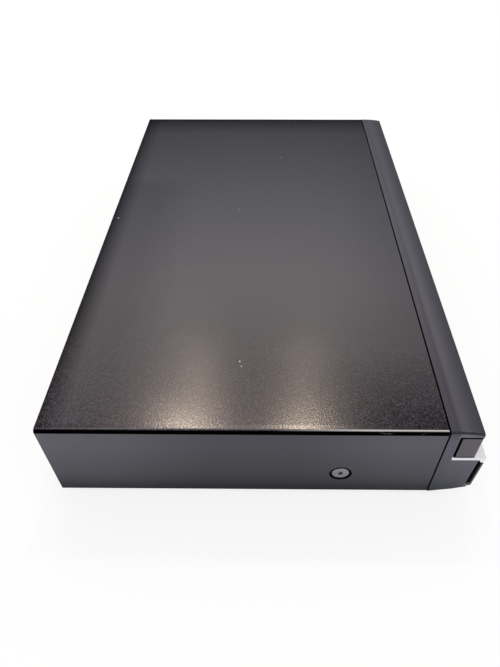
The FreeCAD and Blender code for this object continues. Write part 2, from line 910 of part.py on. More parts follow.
def feet():
    """Four round plastic feet, each with a pocket for its pad and a screw hole."""
    items = []
    for x, y in FEET:
        tall = S.foot_height - S.foot_lift
        shell = taper("z", x, y, S.foot_lift, S.foot_radius - S.foot_draft, S.foot_radius, tall)
        pocket = rod("z", x, y, 0.0, S.pad_radius + S.fit_gap, S.pad_height)
        well = rod("z", x, y, S.foot_lift, S.screw_head_radius + S.foot_well_gap, FOOT_SEAT - S.foot_lift)
        hole = rod("z", x, y, S.foot_lift, S.screw_shank_radius + S.screw_clearance, S.foot_height)
        items.append(cut(shell, [pocket, well, hole]))
    keep("feet", several(items))
    pads = [rod("z", x, y, 0.0, S.pad_radius, S.pad_height) for x, y in FEET]
    keep("foot_pads", several(pads))


def side_screws():
    """The two wide black screws that hold the cover's sides."""
    items = []
    for side, axis in ((-1, "x"), (1, "-x")):
        seat = side * (HALF - S.dimple_depth)
        items.append(screw(axis, seat, SIDE_SCREW_Y, SIDE_SCREW_Z, S.side_head_radius,
                           S.side_head_height, S.side_shank_radius, S.side_shank_length))
    keep("side_screws", several(items))


def panel_screws():
    """The small screws: under the feet, in the rear lip and behind the front moulding."""
    items = [small_screw("z", x, y, FOOT_SEAT) for x, y in FEET]
    items += [small_screw("-y", x, REAR, LIP_SCREW_Z) for x in LIP_SCREWS_X]
    items += [small_screw("-y", x, SEAM + S.chassis_sheet, FRAME_BOSS_Z) for x in FRAME_BOSSES_X]
    keep("panel_screws", several(items))


def front_outline():
    """The front moulding seen from the side: y and z of each corner."""
    fall = S.front_depth - S.top_flat
    bow = (fall * fall + S.face_drop * S.face_drop) / (2 * S.face_drop)
    under_ledge = S.front_depth + S.ledge_reach - S.ledge_under_back - 2 * S.fit_gap
    return [
        (SEAM, up(-S.chin_drop)), (SEAM, TOP), (ahead(S.top_flat), TOP, bow),
        (ahead(S.front_depth), TOP - S.face_drop), (ahead(S.front_depth), down(S.trim_low_drop + S.fit_gap)),
        (ahead(under_ledge), down(S.trim_low_drop + S.fit_gap)),
        (ahead(S.cheek_high_ahead), down(S.bay_drop)), (ahead(S.cheek_low_ahead), up(S.cheek_low_up)),
        (ahead(S.chin_tip_ahead), up(S.chin_tip_up)), (ahead(S.chin_knee_ahead), up(S.chin_knee_up)),
        (ahead(S.seam_bevel), up(-S.chin_drop)),
    ]


def key_places():
    """The middle of each key: x, with all keys on one line."""
    keys = {"power_button": -HALF + S.power_key_inset}
    for step, name in enumerate(("open_button", "stop_button", "play_button", "record_button")):
        keys[name] = KEYS_X + S.key_pitch * step
    return keys


BAND = down(S.band_drop)
PLATE_BACK = S.front_depth - S.fascia_plate
WALL_BACK = PLATE_BACK - S.moulding_wall
EARS_X = [S.ear_inset - HALF, -S.ear_middle, S.ear_middle, HALF - S.ear_inset]
FLAP_Y = ahead(S.front_depth + S.ledge_reach - S.flap_face_back - S.flap_lean - S.flap_barrel)
FLAP_Z = up(S.flap_axis_up)


def opening(middle_x, width, height, gap):
    """The outline of a hole in the front band that leaves a gap round a piece."""
    return oblong(spread(middle_x, width + 2 * gap), spread(BAND, height + 2 * gap))


def band_openings():
    """The holes that moulding and fascia share: tray, display and keys."""
    holes = [opening(TRAY_X, S.tray_front_width, S.tray_front_height, S.tray_front_gap)]
    holes.append(opening(WINDOW_X, WINDOW_WIDTH, S.window_height, S.window_gap))
    holes += [opening(x, S.key_width, S.key_height, S.key_gap) for x in key_places().values()]
    return holes


def front_frame():
    """The plastic front moulding: bowed top, side cheeks, band wall and the bay behind the flap."""
    body = new_body("front_frame")
    wall = S.moulding_wall
    add(body, "YZ", (-HALF, HALF), front_outline())
    lowest = value(TOP - S.face_drop) - 0.01
    round_edges(body, S.front_bend, lambda edge: near(abs(edge.CenterOfMass.x), value(HALF))
                and min(corner.Z for corner in edge.Vertexes) > lowest)
    back = SEAM + OVER
    shelf = down(S.trim_low_drop + S.fit_gap)
    hollow = [
        (back, up(-S.chin_drop) + wall), (back, TOP - wall), (ahead(WALL_BACK), TOP - wall - S.face_drop),
        (ahead(WALL_BACK), shelf), (ahead(S.bay_ahead - wall), shelf),
        (ahead(S.bay_ahead - wall), up(S.chin_knee_up) + wall),
        (ahead(S.seam_bevel), up(-S.chin_drop) + wall),
    ]
    take(body, "YZ", (-HALF + wall, HALF - wall), hollow)
    in_front = ahead(S.front_depth + S.ledge_reach + OVER)
    take(body, "YZ", (-HALF + wall, HALF - wall),
         oblong((in_front, ahead(S.bay_ahead)), (up(S.lip_up), down(S.bay_drop))))
    recess = (down(S.trim_low_drop + S.fit_gap), down(S.fascia_drop - S.fascia_groove))
    take(body, "YZ", (-HALF - OVER, HALF + OVER), oblong((in_front, ahead(PLATE_BACK)), recess))
    recess_back = ahead(S.fascia_wing_back - S.fascia_groove)
    for side in (-1, 1):
        depth = in_order(side, side * (HALF - S.fascia_wing), side * (HALF + OVER))
        take(body, "YZ", depth, oblong((in_front, recess_back), recess))
    through = (ahead(PLATE_BACK + OVER), ahead(WALL_BACK - OVER))
    take(body, "XZ", through, *band_openings())
    take(body, "XZ", (ahead(S.bay_ahead + OVER), ahead(S.bay_ahead - wall - OVER)),
         *[circle(x, up(S.front_jack_up), S.jack_barrel + S.jack_hole_gap) for x in front_jacks_x()])
    tongue = (TOP - S.cover_sheet - S.fit_gap - S.tongue_thickness, TOP - S.cover_sheet - S.fit_gap)
    width = HALF - S.cover_sheet - S.tongue_inset
    add(body, "YZ", (-width, width), oblong((ahead(2 * OVER), SEAM + S.tongue_length), tongue))
    add(body, "XZ", (ahead(S.bay_ahead - wall / 2), SEAM),
        *[circle(x, FRAME_BOSS_Z, S.frame_boss_radius) for x in FRAME_BOSSES_X])
    take(body, "XZ", (ahead(S.screw_shank_length), SEAM + OVER),
         *[circle(x, FRAME_BOSS_Z, S.screw_shank_radius) for x in FRAME_BOSSES_X])
    ring = S.flap_barrel
    stem = oblong((FLAP_Y, ahead(S.bay_ahead + OVER)), (up(S.lip_up) - OVER, FLAP_Z))
    for x in EARS_X:
        add(body, "YZ", spread(x, S.ear_width), stem)
        add(body, "YZ", spread(x, S.ear_width), circle(FLAP_Y, FLAP_Z, ring))
        take(body, "YZ", spread(x, S.ear_width + OVER), circle(FLAP_Y, FLAP_Z, S.flap_pin + S.flap_running))


def front_jacks_x():
    """The middles of the three round sockets behind the flap."""
    return [HALF - S.front_jack_inset - S.front_jack_pitch * step for step in range(3)]


def upper_fascia():
    """The band round the upper front with a wing on each side."""
    body = new_body("upper_fascia")
    inside = HALF - S.fascia_wing
    face, back, plate = ahead(S.front_depth), ahead(S.fascia_wing_back), ahead(PLATE_BACK)
    profile = [(-HALF, face), (HALF, face), (HALF, back), (inside, back),
               (inside, plate), (-inside, plate), (-inside, back), (-HALF, back)]
    add(body, "XY", (down(S.fascia_low_drop), down(S.fascia_drop)), profile)
    take(body, "XZ", (face - OVER, plate + OVER), *band_openings())
    round_edges(body, S.fascia_wing, lambda edge: runs_along(edge, "x")
                and near(edge.CenterOfMass.y, value(back)) and edge.CenterOfMass.z > value(BAND))
    round_edges(body, S.fascia_wing / 2, lambda edge: runs_along(edge, "z")
                and near(edge.CenterOfMass.y, value(face)) and near(abs(edge.CenterOfMass.x), value(HALF)))


def ledge_trim():
    """The bright bar under the fascia with a thin strip along each side."""
    body = new_body("ledge_trim")
    front = S.front_depth + S.ledge_reach
    bar = [
        (ahead(PLATE_BACK), down(S.trim_low_drop)), (ahead(PLATE_BACK), down(S.trim_drop)),
        (ahead(front), down(S.trim_drop)),
        (ahead(front - S.ledge_front_back), down(S.ledge_low_drop)),
        (ahead(front - S.ledge_front_back - S.ledge_lip), down(S.ledge_low_drop)),
        (ahead(front - S.ledge_under_back), down(S.trim_low_drop)),
    ]
    add(body, "YZ", (-HALF, HALF), bar)
    for side in (-1, 1):
        depth = in_order(side, side * (HALF - S.fascia_wing), side * HALF)
        add(body, "YZ", depth, oblong((ahead(PLATE_BACK + OVER), ahead(S.trim_back)),
                                      (down(S.trim_low_drop), down(S.trim_drop))))
        add(body, "YZ", depth, oblong((ahead(S.trim_back + S.trim_tick), ahead(S.trim_back)),
                                      (down(S.trim_low_drop), down(S.trim_drop - S.trim_tick))))


def flap_door():
    """The drop-down flap with a round lower edge that carries the hinge pins."""
    body = new_body("flap_door")
    foot = FLAP_Y - S.flap_barrel
    head = foot - S.flap_lean
    leaf = [(foot, FLAP_Z), (foot + S.flap_thickness, FLAP_Z),
            (head + S.flap_thickness, down(S.flap_drop)), (head, down(S.flap_drop))]
    add(body, "YZ", (-HALF, HALF), leaf)
    add(body, "YZ", (-HALF, HALF), circle(FLAP_Y, FLAP_Z, S.flap_barrel))
    notch = S.ear_width + 2 * S.ear_gap
    reach = S.flap_barrel + S.ear_gap
    for x in EARS_X:
        take(body, "YZ", spread(x, notch),
             oblong((FLAP_Y - 2 * reach, FLAP_Y + 2 * reach), (FLAP_Z - 2 * reach, FLAP_Z + reach)))
        add(body, "YZ", spread(x, notch + 2 * OVER), circle(FLAP_Y, FLAP_Z, S.flap_pin))


def tray_front():
    """The bezel on the end of the disc tray."""
    body = new_body("tray_front")
    face = ahead(S.front_depth)
    add(body, "XZ", (face, ahead(S.bay_ahead)), oblong(spread(TRAY_X, S.tray_front_width),
                                                       spread(BAND, S.tray_front_height)))
    round_edges(body, S.edge_round, lambda edge: near(edge.CenterOfMass.y, value(face)))


def display_window():
    """The tinted window in the fascia."""
    body = new_body("display_window")
    span = (ahead(S.front_depth), ahead(WALL_BACK))
    add(body, "XZ", span, oblong(spread(WINDOW_X, WINDOW_WIDTH), spread(BAND, S.window_height)))


KEY_FLANGE_FRONT = WALL_BACK - S.end_gap


def front_keys():
    """Keys that pass through fascia and moulding, each with a flange and a stem behind."""
    for label, x in key_places().items():
        body = new_body(label)
        face = ahead(S.front_depth + S.key_proud)
        flange = KEY_FLANGE_FRONT - S.key_flange_thickness
        add(body, "XZ", (face, ahead(flange)), oblong(spread(x, S.key_width), spread(BAND, S.key_height)))
        add(body, "XZ", (ahead(KEY_FLANGE_FRONT), ahead(flange)),
            oblong(spread(x, S.key_width + 2 * S.key_flange), spread(BAND, S.key_height + 2 * S.key_flange)))
        add(body, "XZ", (ahead(flange + S.fit_gap), ahead(flange - S.key_stem_length)),
            circle(x, BAND, S.key_stem))
        round_edges(body, S.edge_round, lambda edge: near(edge.CenterOfMass.y, value(face)))


BOARD_FRONT = S.front_board_ahead + S.board_thickness


def front_electronics():
    """The front circuit boards with switches, display tube and sockets."""
    back, front = ahead(S.front_board_ahead), ahead(BOARD_FRONT)
    keys = key_places()
    right = HALF - S.front_board_side
    main = box((right - S.front_board_width, right), (front, back),
               (FRAME_BOSS_Z + S.frame_boss_radius + S.end_gap, down(S.front_board_drop)))
    small = box(spread(keys["power_button"], S.power_key_board), (front, back),
                spread(BAND, S.key_height + 2 * S.key_board_margin))
    keep("front_board", several([main, small]))
    stem_end = KEY_FLANGE_FRONT - S.key_flange_thickness - S.key_stem_length
    tip = stem_end - S.key_travel - S.fit_gap
    switches = []
    for x in keys.values():
        case = box(spread(x, S.switch_size), (ahead(BOARD_FRONT + S.switch_body), front),
                   spread(BAND, S.switch_size))
        plunger = rod("y", x, ahead(tip), BAND, S.key_stem, tip - BOARD_FRONT)
        switches.append(joined([case, plunger]))
    keep("front_switches", several(switches))
    tube = middle_box(WINDOW_X, (ahead(BOARD_FRONT + S.tube_depth) + front) / 2,
                      BAND - S.tube_height / 2, S.tube_width, S.tube_depth, S.tube_height)
    keep("display_tube", tube)
    jacks = []
    for x in front_jacks_x():
        case = box(spread(x, S.jack_body), (ahead(S.bay_ahead - S.moulding_wall - S.fit_gap), front),
                   spread(up(S.front_jack_up), S.jack_body))
        tip = S.bay_ahead + S.jack_reach
        barrel = rod("y", x, ahead(tip), up(S.front_jack_up), S.jack_barrel, tip - BOARD_FRONT)
        bore = rod("y", x, ahead(tip + OVER), up(S.front_jack_up), S.jack_bore, S.jack_reach + OVER)
        jacks.append(cut(joined([case, barrel]), [bore]))
    keep("front_jacks", several(jacks))


TRAY_Y = ahead(S.bay_ahead)
DISC_SEAT = S.disc_radius + S.disc_ease
DISC_Y = TRAY_Y + S.disc_margin + DISC_SEAT
TRAY_REAR = DISC_Y + DISC_SEAT + S.tray_tail
DECK_HALF = DISC_SEAT + S.tray_side_margin
FLANGE_HALF = DECK_HALF + S.tray_flange_step
LOADER_INSIDE = FLANGE_HALF + S.tray_side_gap
LOADER_HALF = LOADER_INSIDE + S.loader_wall
AXIS_Y = DISC_Y + S.traverse_axis_back
TRAY_BASE = down(S.tray_base_drop)
TRAY_TOP = down(S.tray_top_drop)
FLANGE_LOW = TRAY_BASE + S.tray_flange_lap - S.tray_flange_thickness
FLANGE_HIGH = TRAY_BASE + S.tray_flange_lap
GEAR_Y = SEAM + S.gear_back
RACK_X = TRAY_X + S.rack_middle
TRAY_GEAR_RADIUS = S.gear_module * S.tray_gear_teeth / 2
PINION_RADIUS = S.gear_module * S.pinion_teeth / 2
TRAY_GEAR_X = RACK_X + TRAY_GEAR_RADIUS
PULLEY_X = TRAY_GEAR_X + TRAY_GEAR_RADIUS + PINION_RADIUS
MOTOR_X = PULLEY_X + S.belt_span
TRAY_GEAR_TOP = TRAY_BASE - S.gear_top_gap
TRAY_GEAR_LOW = TRAY_GEAR_TOP - S.tray_gear_height
PINION_LOW = TRAY_GEAR_LOW + S.pinion_lift
PULLEY_TOP = TRAY_GEAR_LOW - S.pulley_drop
PULLEY_LOW = PULLEY_TOP - S.pulley_height
LOADER_FRONT = ahead(S.loader_ahead)
LOADER_REAR = AXIS_Y + S.loader_tail
LOADER_LOW = down(S.loader_bottom_drop)
LOADER_FLOOR = LOADER_LOW + S.loader_floor
LOADER_TOP = down(S.loader_drop)
PRESSURE_ANGLE = math.radians(20)
ADDENDUM = 0.8
DEDENDUM = 1.15
BACKLASH = 0.24


def rack_travel():
    """The tray's travel: a whole number of rack teeth."""
    return value(S.rack_teeth_travel) * math.pi * value(S.gear_module)


def gear_outline(module, teeth, phase):
    """A wire round a spur gear with involute flanks; one tooth points at the phase angle."""
    pitch = module * teeth / 2
    base = pitch * math.cos(PRESSURE_ANGLE)
    tip = pitch + ADDENDUM * module
    root = pitch - DEDENDUM * module
    involute = math.tan(PRESSURE_ANGLE) - PRESSURE_ANGLE
    half_tooth = (math.pi / 2 - BACKLASH) * module / 2 / pitch + involute
    steps = 5
    start = max(base, root)
    radii = [start + (tip - start) * step / (steps - 1) for step in range(steps)]

    def flank_angle(radius):
        bend = math.acos(min(base / radius, 1.0))
        return half_tooth - (math.tan(bend) - bend)

    points = []
    for tooth in range(teeth):
        middle = phase + 2 * math.pi * tooth / teeth
        flank = [(root, middle - flank_angle(start))] if root < start else []
        flank += [(radius, middle - flank_angle(radius)) for radius in radii]
        points += flank
        points += [(radius, 2 * middle - angle) for radius, angle in reversed(flank)]
    corners = [FreeCAD.Vector(r * math.cos(a), r * math.sin(a), 0) for r, a in points]
    return Part.makePolygon(corners + corners[:1])


def gear_disc(module, teeth, phase, height):
    """A gear as a solid that stands on z = 0 about the z axis."""
    face = Part.Face(gear_outline(module, teeth, phase))
    return face.extrude(FreeCAD.Vector(0, 0, height))


def shaped(shape, x, y, z):
    """A solid made point by point, moved to its place."""
    item = doc.addObject("Part::Feature", "Shaped")
    item.Shape = shape
    item.Placement.Base = FreeCAD.Vector(value(x), value(y), value(z))
    return item


def rack_outline(module, teeth):
    """Straight rack teeth along +y from y = 0, pointing at +x, with the pitch line on x = 0."""
    pitch = math.pi * module
    slope = math.tan(PRESSURE_ANGLE)
    half = (math.pi / 2 - BACKLASH) * module / 2
    tip, root = ADDENDUM * module, -DEDENDUM * module
    corners = [FreeCAD.Vector(-value(S.rack_bar), -pitch / 2, 0), FreeCAD.Vector(root, -pitch / 2, 0)]
    for tooth in range(teeth):
        middle = pitch * tooth
        for x, y in ((root, middle - half + root * slope), (tip, middle - half + tip * slope),
                     (tip, middle + half - tip * slope), (root, middle + half - root * slope)):
            corners.append(FreeCAD.Vector(x, y, 0))
    end = pitch * (teeth - 0.5)
    corners += [FreeCAD.Vector(root, end, 0), FreeCAD.Vector(-value(S.rack_bar), end, 0)]
    return Part.makePolygon(corners + corners[:1])


def disc_tray():
    """The sliding tray: two disc recesses, a slot for the spindle, side flanges and a rack."""
    deck = box(spread(TRAY_X, 2 * DECK_HALF), (TRAY_Y, TRAY_REAR), (TRAY_BASE, TRAY_TOP))
    wings = box(spread(TRAY_X, 2 * FLANGE_HALF), (TRAY_Y, TRAY_REAR), (FLANGE_LOW, FLANGE_HIGH))
    under = box(spread(TRAY_X, 2 * (DECK_HALF - S.tray_side_wall)), (TRAY_Y - OVER, TRAY_REAR + OVER),
                (FLANGE_LOW - OVER, TRAY_BASE))
    teeth = int(value(S.rack_teeth_travel)) + 3
    low = TRAY_GEAR_TOP - S.gear_mesh_height
    height = value(TRAY_BASE + OVER / 2 - low)
    rack = Part.Face(rack_outline(value(S.gear_module), teeth)).extrude(FreeCAD.Vector(0, 0, height))
    pitch = math.pi * value(S.gear_module)
    rack_item = shaped(rack, RACK_X, GEAR_Y - pitch, low)
    seat = rod("z", TRAY_X, DISC_Y, TRAY_TOP - S.disc_seat_drop, DISC_SEAT,
               S.disc_seat_drop + OVER)
    inner = rod("z", TRAY_X, DISC_Y, TRAY_TOP - S.disc_seat_drop - S.small_seat_drop,
                S.small_disc_radius + S.disc_ease, S.disc_seat_drop + OVER)
    slot_low = FLANGE_LOW - 2 * OVER
    slot = box(spread(TRAY_X, 2 * S.tray_slot), (DISC_Y, TRAY_REAR + OVER), (slot_low, TRAY_TOP + OVER))
    hole = rod("z", TRAY_X, DISC_Y, slot_low, S.tray_slot, TRAY_TOP - slot_low + OVER)
    rim = joined([cut(joined([deck, wings]), [under]), rack_item])
    keep("disc_tray", cut(rim, [seat, inner, slot, hole]))


CAM_REAR = DISC_Y - S.traverse_front_back - S.cam_gap
CAM_FRONT = CAM_REAR - S.cam_sheet
CAM_LOW = LOADER_FLOOR + S.end_gap
TRAVERSE_FRONT = DISC_Y - S.traverse_front_back
TRAVERSE_LOW = down(S.traverse_drop)
TRAVERSE_TOP = TRAVERSE_LOW + S.traverse_sheet
AXIS_Z = TRAVERSE_LOW + S.traverse_sheet / 2
LIFT_Z = down(S.lift_pin_drop)
BRIDGE_LOW = down(S.bridge_drop)


def loader_frame():
    """The moulded frame of the disc drive: walls, tray ledges, clamp bridge, gear posts and ears."""
    half = LOADER_HALF
    deep = (LOADER_FRONT, LOADER_REAR)
    pieces = [box(spread(TRAY_X, 2 * LOADER_HALF), deep, (LOADER_LOW, LOADER_FLOOR))]
    ledge_top = FLANGE_LOW - S.tray_slide_gap
    ledge = FLANGE_HALF - S.ledge_width
    guide_low = FLANGE_HIGH + S.tray_slide_gap
    for side in (-1, 1):
        def across(inner, outer):
            return in_order(side, TRAY_X + side * inner, TRAY_X + side * outer)
        pieces.append(box(across(LOADER_INSIDE, half), deep, (LOADER_LOW, LOADER_TOP)))
        pieces.append(box(across(ledge, half), deep, (ledge_top - S.ledge_thickness, ledge_top)))
        for start, end in ((LOADER_FRONT, DISC_Y), (LOADER_REAR - S.rear_guide_length, LOADER_REAR)):
            pieces.append(box(across(FLANGE_HALF - S.guide_width, half), (start, end),
                              (guide_low, guide_low + S.guide_thickness)))
    pieces.append(box(spread(TRAY_X, 2 * LOADER_HALF), (LOADER_REAR - S.loader_wall, LOADER_REAR),
                      (LOADER_LOW, LOADER_TOP)))
    front_top = TRAY_GEAR_TOP - S.gear_mesh_height - S.tray_slide_gap
    pieces.append(box(spread(TRAY_X, 2 * LOADER_HALF), (LOADER_FRONT, LOADER_FRONT + S.loader_front_wall),
                      (LOADER_LOW, front_top)))
    pieces.append(box(spread(TRAY_X, 2 * LOADER_HALF), spread(DISC_Y, 2 * S.bridge_half),
                      (BRIDGE_LOW, BRIDGE_LOW + S.bridge_height)))
    shoulder = 2 * S.post_radius
    posts = (
        (TRAY_GEAR_X, TRAY_GEAR_LOW, TRAY_GEAR_TOP),
        (PULLEY_X, PULLEY_LOW, PINION_LOW + S.pinion_height),
    )
    foot = LOADER_FLOOR - OVER / 2
    for x, low, high in posts:
        pieces.append(rod("z", x, GEAR_Y, foot, shoulder, low - S.end_gap - foot))
        pieces.append(rod("z", x, GEAR_Y, foot, S.post_radius, high + S.post_end - foot))
    for side, x in ((-1, TRAY_X - S.traverse_left), (1, TRAY_X + S.traverse_right)):
        ear = in_order(side, x + side * S.pivot_gap, x + side * (S.pivot_gap + S.pivot_ear))
        pieces.append(box(ear, spread(AXIS_Y, S.pivot_ear_width), (foot, AXIS_Z + 2.5 * S.traverse_pin)))
    for x in inset((TRAY_X + S.cam_left, TRAY_X + S.cam_right), S.cam_guide_inset):
        wide = spread(x, S.cam_guide_width)
        pieces.append(box(wide, (CAM_FRONT - S.end_gap - S.cam_guide_thickness, CAM_FRONT - S.end_gap),
                          (foot, foot + S.cam_guide_height)))
        pieces.append(box(wide, (CAM_REAR + S.end_gap, CAM_REAR + S.end_gap + S.cam_stop_thickness),
                          (foot, foot + S.cam_stop_height)))
    pin_ends = (TRAY_X - S.traverse_left - S.traverse_pin_length,
                TRAY_X + S.traverse_right + S.traverse_pin_length)
    holes = [rod("x", pin_ends[0] - OVER, AXIS_Y, AXIS_Z, S.traverse_pin + S.running_gap,
                 pin_ends[1] - pin_ends[0] + 2 * OVER)]
    holes.append(rod("z", TRAY_X, DISC_Y, BRIDGE_LOW - OVER, S.clamper_radius + S.clamper_play,
                     S.bridge_height + 2 * OVER))
    keep("loader_frame", cut(joined(pieces), holes))


def loader_cover():
    """The flat steel lid of the disc drive."""
    keep("loader_lid", box(spread(TRAY_X, 2 * LOADER_HALF), (LOADER_FRONT, LOADER_REAR),
                           (LOADER_TOP, LOADER_TOP + S.loader_lid_sheet)))


def clamper():
    """The loose round clamp that hangs in the bridge over the spindle."""
    low = down(S.clamper_drop)
    flange = BRIDGE_LOW + S.bridge_height + S.belt_gap
    disc = rod("z", TRAY_X, DISC_Y, low, S.clamper_radius, flange - low)
    brim = rod("z", TRAY_X, DISC_Y, flange, S.clamper_flange, S.clamper_flange_height)
    recess = rod("z", TRAY_X, DISC_Y, low - OVER, S.clamper_recess, S.clamper_recess_depth + OVER)
    keep("clamper", cut(joined([disc, brim]), [recess]))


def loading_gears():
    """The tray gear, the belt pulley with its pinion, the motor pulley, belt and motor."""
    module = value(S.gear_module)
    teeth = int(value(S.tray_gear_teeth))
    bore = S.post_radius + S.running_gap
    gap_phase = math.pi / teeth
    disc = gear_disc(module, teeth, gap_phase, value(S.tray_gear_height))
    wheel = shaped(disc, TRAY_GEAR_X, GEAR_Y, TRAY_GEAR_LOW)
    hole = rod("z", TRAY_GEAR_X, GEAR_Y, TRAY_GEAR_LOW - OVER, bore, S.tray_gear_height + 2 * OVER)
    keep("tray_gear", cut(wheel, [hole]))
    small = int(value(S.pinion_teeth))
    pinion = shaped(gear_disc(module, small, math.pi, value(S.pinion_height)), PULLEY_X, GEAR_Y, PINION_LOW)
    neck_low, neck_high = PULLEY_TOP - OVER / 2, PINION_LOW + OVER / 2
    neck = rod("z", PULLEY_X, GEAR_Y, neck_low, S.neck_radius, neck_high - neck_low)
    wheel = pulley(PULLEY_X, S.pulley_radius)
    hole_low, hole_high = PULLEY_LOW - OVER, PINION_LOW + S.pinion_height + OVER
    hole = rod("z", PULLEY_X, GEAR_Y, hole_low, bore, hole_high - hole_low)
    keep("pulley_gear", cut(joined([pinion, neck, wheel]), [hole]))
    shaft_low = LOADER_FLOOR + S.motor_height / 2
    shaft = rod("z", MOTOR_X, GEAR_Y, shaft_low, S.motor_shaft, PULLEY_TOP - shaft_low)
    keep("motor_pulley", joined([pulley(MOTOR_X, S.motor_pulley_radius), shaft]))
    can = rod("z", MOTOR_X, GEAR_Y, LOADER_FLOOR, S.motor_radius, S.motor_height)
    hole = rod("z", MOTOR_X, GEAR_Y, shaft_low - OVER / 2, S.motor_shaft + S.running_gap, S.motor_height)
    keep("loading_motor", cut(can, [hole]))
    body = new_body("drive_belt")
    middle = (PULLEY_LOW + PULLEY_TOP) / 2
    inner = (S.pulley_radius + S.belt_gap, S.motor_pulley_radius + S.belt_gap)
    add(body, "XY", spread(middle, S.belt_size), belt_outline(*[r + S.belt_size for r in inner]))
    take(body, "XY", spread(middle, S.belt_size + OVER), belt_outline(*inner))


def pulley(x, radius):
    """A grooved pulley about a vertical axis."""
    rim = rod("z", x, GEAR_Y, PULLEY_LOW, radius + S.pulley_rim, S.pulley_height)
    width = S.belt_size + 2 * S.belt_gap
    low = (PULLEY_LOW + PULLEY_TOP) / 2 - width / 2
    outer = rod("z", x, GEAR_Y, low, radius + S.pulley_rim + OVER, width)
    core = rod("z", x, GEAR_Y, low, radius, width)
    return cut(rim, [cut(outer, [core])])


def belt_outline(large, small):
    """A belt's outline round the large pulley and the motor pulley, with tangent runs."""
    lean = (large - small) / S.belt_span
    rise = (1 - lean * lean).root()
    return [
        (PULLEY_X + large * lean, GEAR_Y + large * rise, large),
        (PULLEY_X - large, GEAR_Y, large),
        (PULLEY_X + large * lean, GEAR_Y - large * rise),
        (MOTOR_X + small * lean, GEAR_Y - small * rise, small),
        (MOTOR_X + small, GEAR_Y, small),
        (MOTOR_X + small * lean, GEAR_Y + small * rise),
    ]


def cam_slider():
    """The sliding cam whose two slanted slots lift the front of the traverse."""
    body = new_body("cam_slider")
    span = (CAM_FRONT, CAM_REAR)
    across = (TRAY_X + S.cam_left, TRAY_X + S.cam_right)
    add(body, "XZ", span, oblong(across, (CAM_LOW, CAM_LOW + S.cam_height)))
    wide = S.lift_pin + S.cam_slot_gap
    run = (S.cam_travel * S.cam_travel + S.lift_height * S.lift_height).root()
    along_x, along_z = wide * S.cam_travel / run, wide * S.lift_height / run
    for pin in (S.lift_pin_left, S.lift_pin_right):
        x, far_x, far_z = TRAY_X + pin, TRAY_X + pin - S.cam_travel, LIFT_Z + S.lift_height
        slot = [
            (x + along_z, LIFT_Z + along_x), (far_x + along_z, far_z + along_x, wide),
            (far_x - along_x, far_z + along_z, wide), (far_x - along_z, far_z - along_x),
            (x - along_z, LIFT_Z - along_x, wide), (x + along_x, LIFT_Z - along_z, wide),
        ]
        take(body, "XZ", (CAM_FRONT - OVER, CAM_REAR + OVER), slot)


def traverse():
    """The lifting plate that carries spindle motor, guide rods and pickup."""
    body = new_body("traverse")
    left, right = TRAY_X - S.traverse_left, TRAY_X + S.traverse_right
    plate = oblong((left, right), (TRAVERSE_FRONT, AXIS_Y + S.traverse_tail))
    add(body, "XY", (TRAVERSE_LOW, TRAVERSE_TOP), plate)
    apron = (TRAVERSE_FRONT, TRAVERSE_FRONT + S.apron_thickness)
    add(body, "XY", (down(S.apron_drop), TRAVERSE_TOP), oblong((left, right), apron))
    add(body, "YZ", (left - S.traverse_pin_length, left + OVER), circle(AXIS_Y, AXIS_Z, S.traverse_pin))
    add(body, "YZ", (right - OVER, right + S.traverse_pin_length), circle(AXIS_Y, AXIS_Z, S.traverse_pin))
    add(body, "XZ", (CAM_FRONT + S.fit_gap, TRAVERSE_FRONT + OVER),
        *[circle(TRAY_X + pin, LIFT_Z, S.lift_pin) for pin in (S.lift_pin_left, S.lift_pin_right)])
    through = (TRAVERSE_LOW - OVER, TRAVERSE_TOP + OVER)
    take(body, "XY", through, circle(TRAY_X, DISC_Y, S.spindle_radius + S.fit_gap))
    window = (TRAY_X - S.window_left, TRAY_X + S.window_right)
    take(body, "XY", through, oblong(window, (WINDOW_FRONT, WINDOW_REAR)))
    take(body, "XY", through, oblong(spread(FEED_X, 2 * S.feed_motor_radius + 2 * S.fit_gap),
                                     (WINDOW_REAR - OVER, WINDOW_REAR + S.feed_motor_length + S.fit_gap)))


PICKUP_Y = DISC_Y + S.pickup_start
WINDOW_FRONT = PICKUP_Y - S.pickup_length / 2 - S.pickup_front_gap
WINDOW_REAR = PICKUP_Y + S.pickup_length / 2 + S.pickup_travel + S.pickup_rear_gap
FEED_X = TRAY_X + S.screw_side
ROD_Z = TRAVERSE_LOW + S.traverse_sheet / 2


def spindle_and_turntable():
    """The spindle motor in the traverse and the turntable with its rotor bell and shaft."""
    motor_low = TRAVERSE_LOW - S.spindle_drop
    motor_top = motor_low + S.spindle_height
    can = rod("z", TRAY_X, DISC_Y, motor_low, S.spindle_radius, S.spindle_height)
    brim = rod("z", TRAY_X, DISC_Y, TRAVERSE_TOP, S.spindle_radius + S.brim_width, S.brim_height)
    hole = rod("z", TRAY_X, DISC_Y, motor_low + S.spindle_floor, S.spindle_shaft + S.running_gap,
               S.spindle_height)
    keep("spindle_motor", cut(joined([can, brim]), [hole]))
    bell_low = motor_top + S.end_gap
    table_low = bell_low + S.rotor_height
    seat = table_low + S.turntable_height
    pieces = [
        rod("z", TRAY_X, DISC_Y, motor_low + S.spindle_floor + S.end_gap, S.spindle_shaft, seat - motor_low),
        rod("z", TRAY_X, DISC_Y, bell_low, S.rotor_radius, S.rotor_height),
        rod("z", TRAY_X, DISC_Y, table_low, S.turntable_radius, S.turntable_height),
        taper("z", TRAY_X, DISC_Y, seat, S.cone_radius, S.cone_tip_radius, S.cone_height),
    ]
    keep("turntable", joined(pieces))


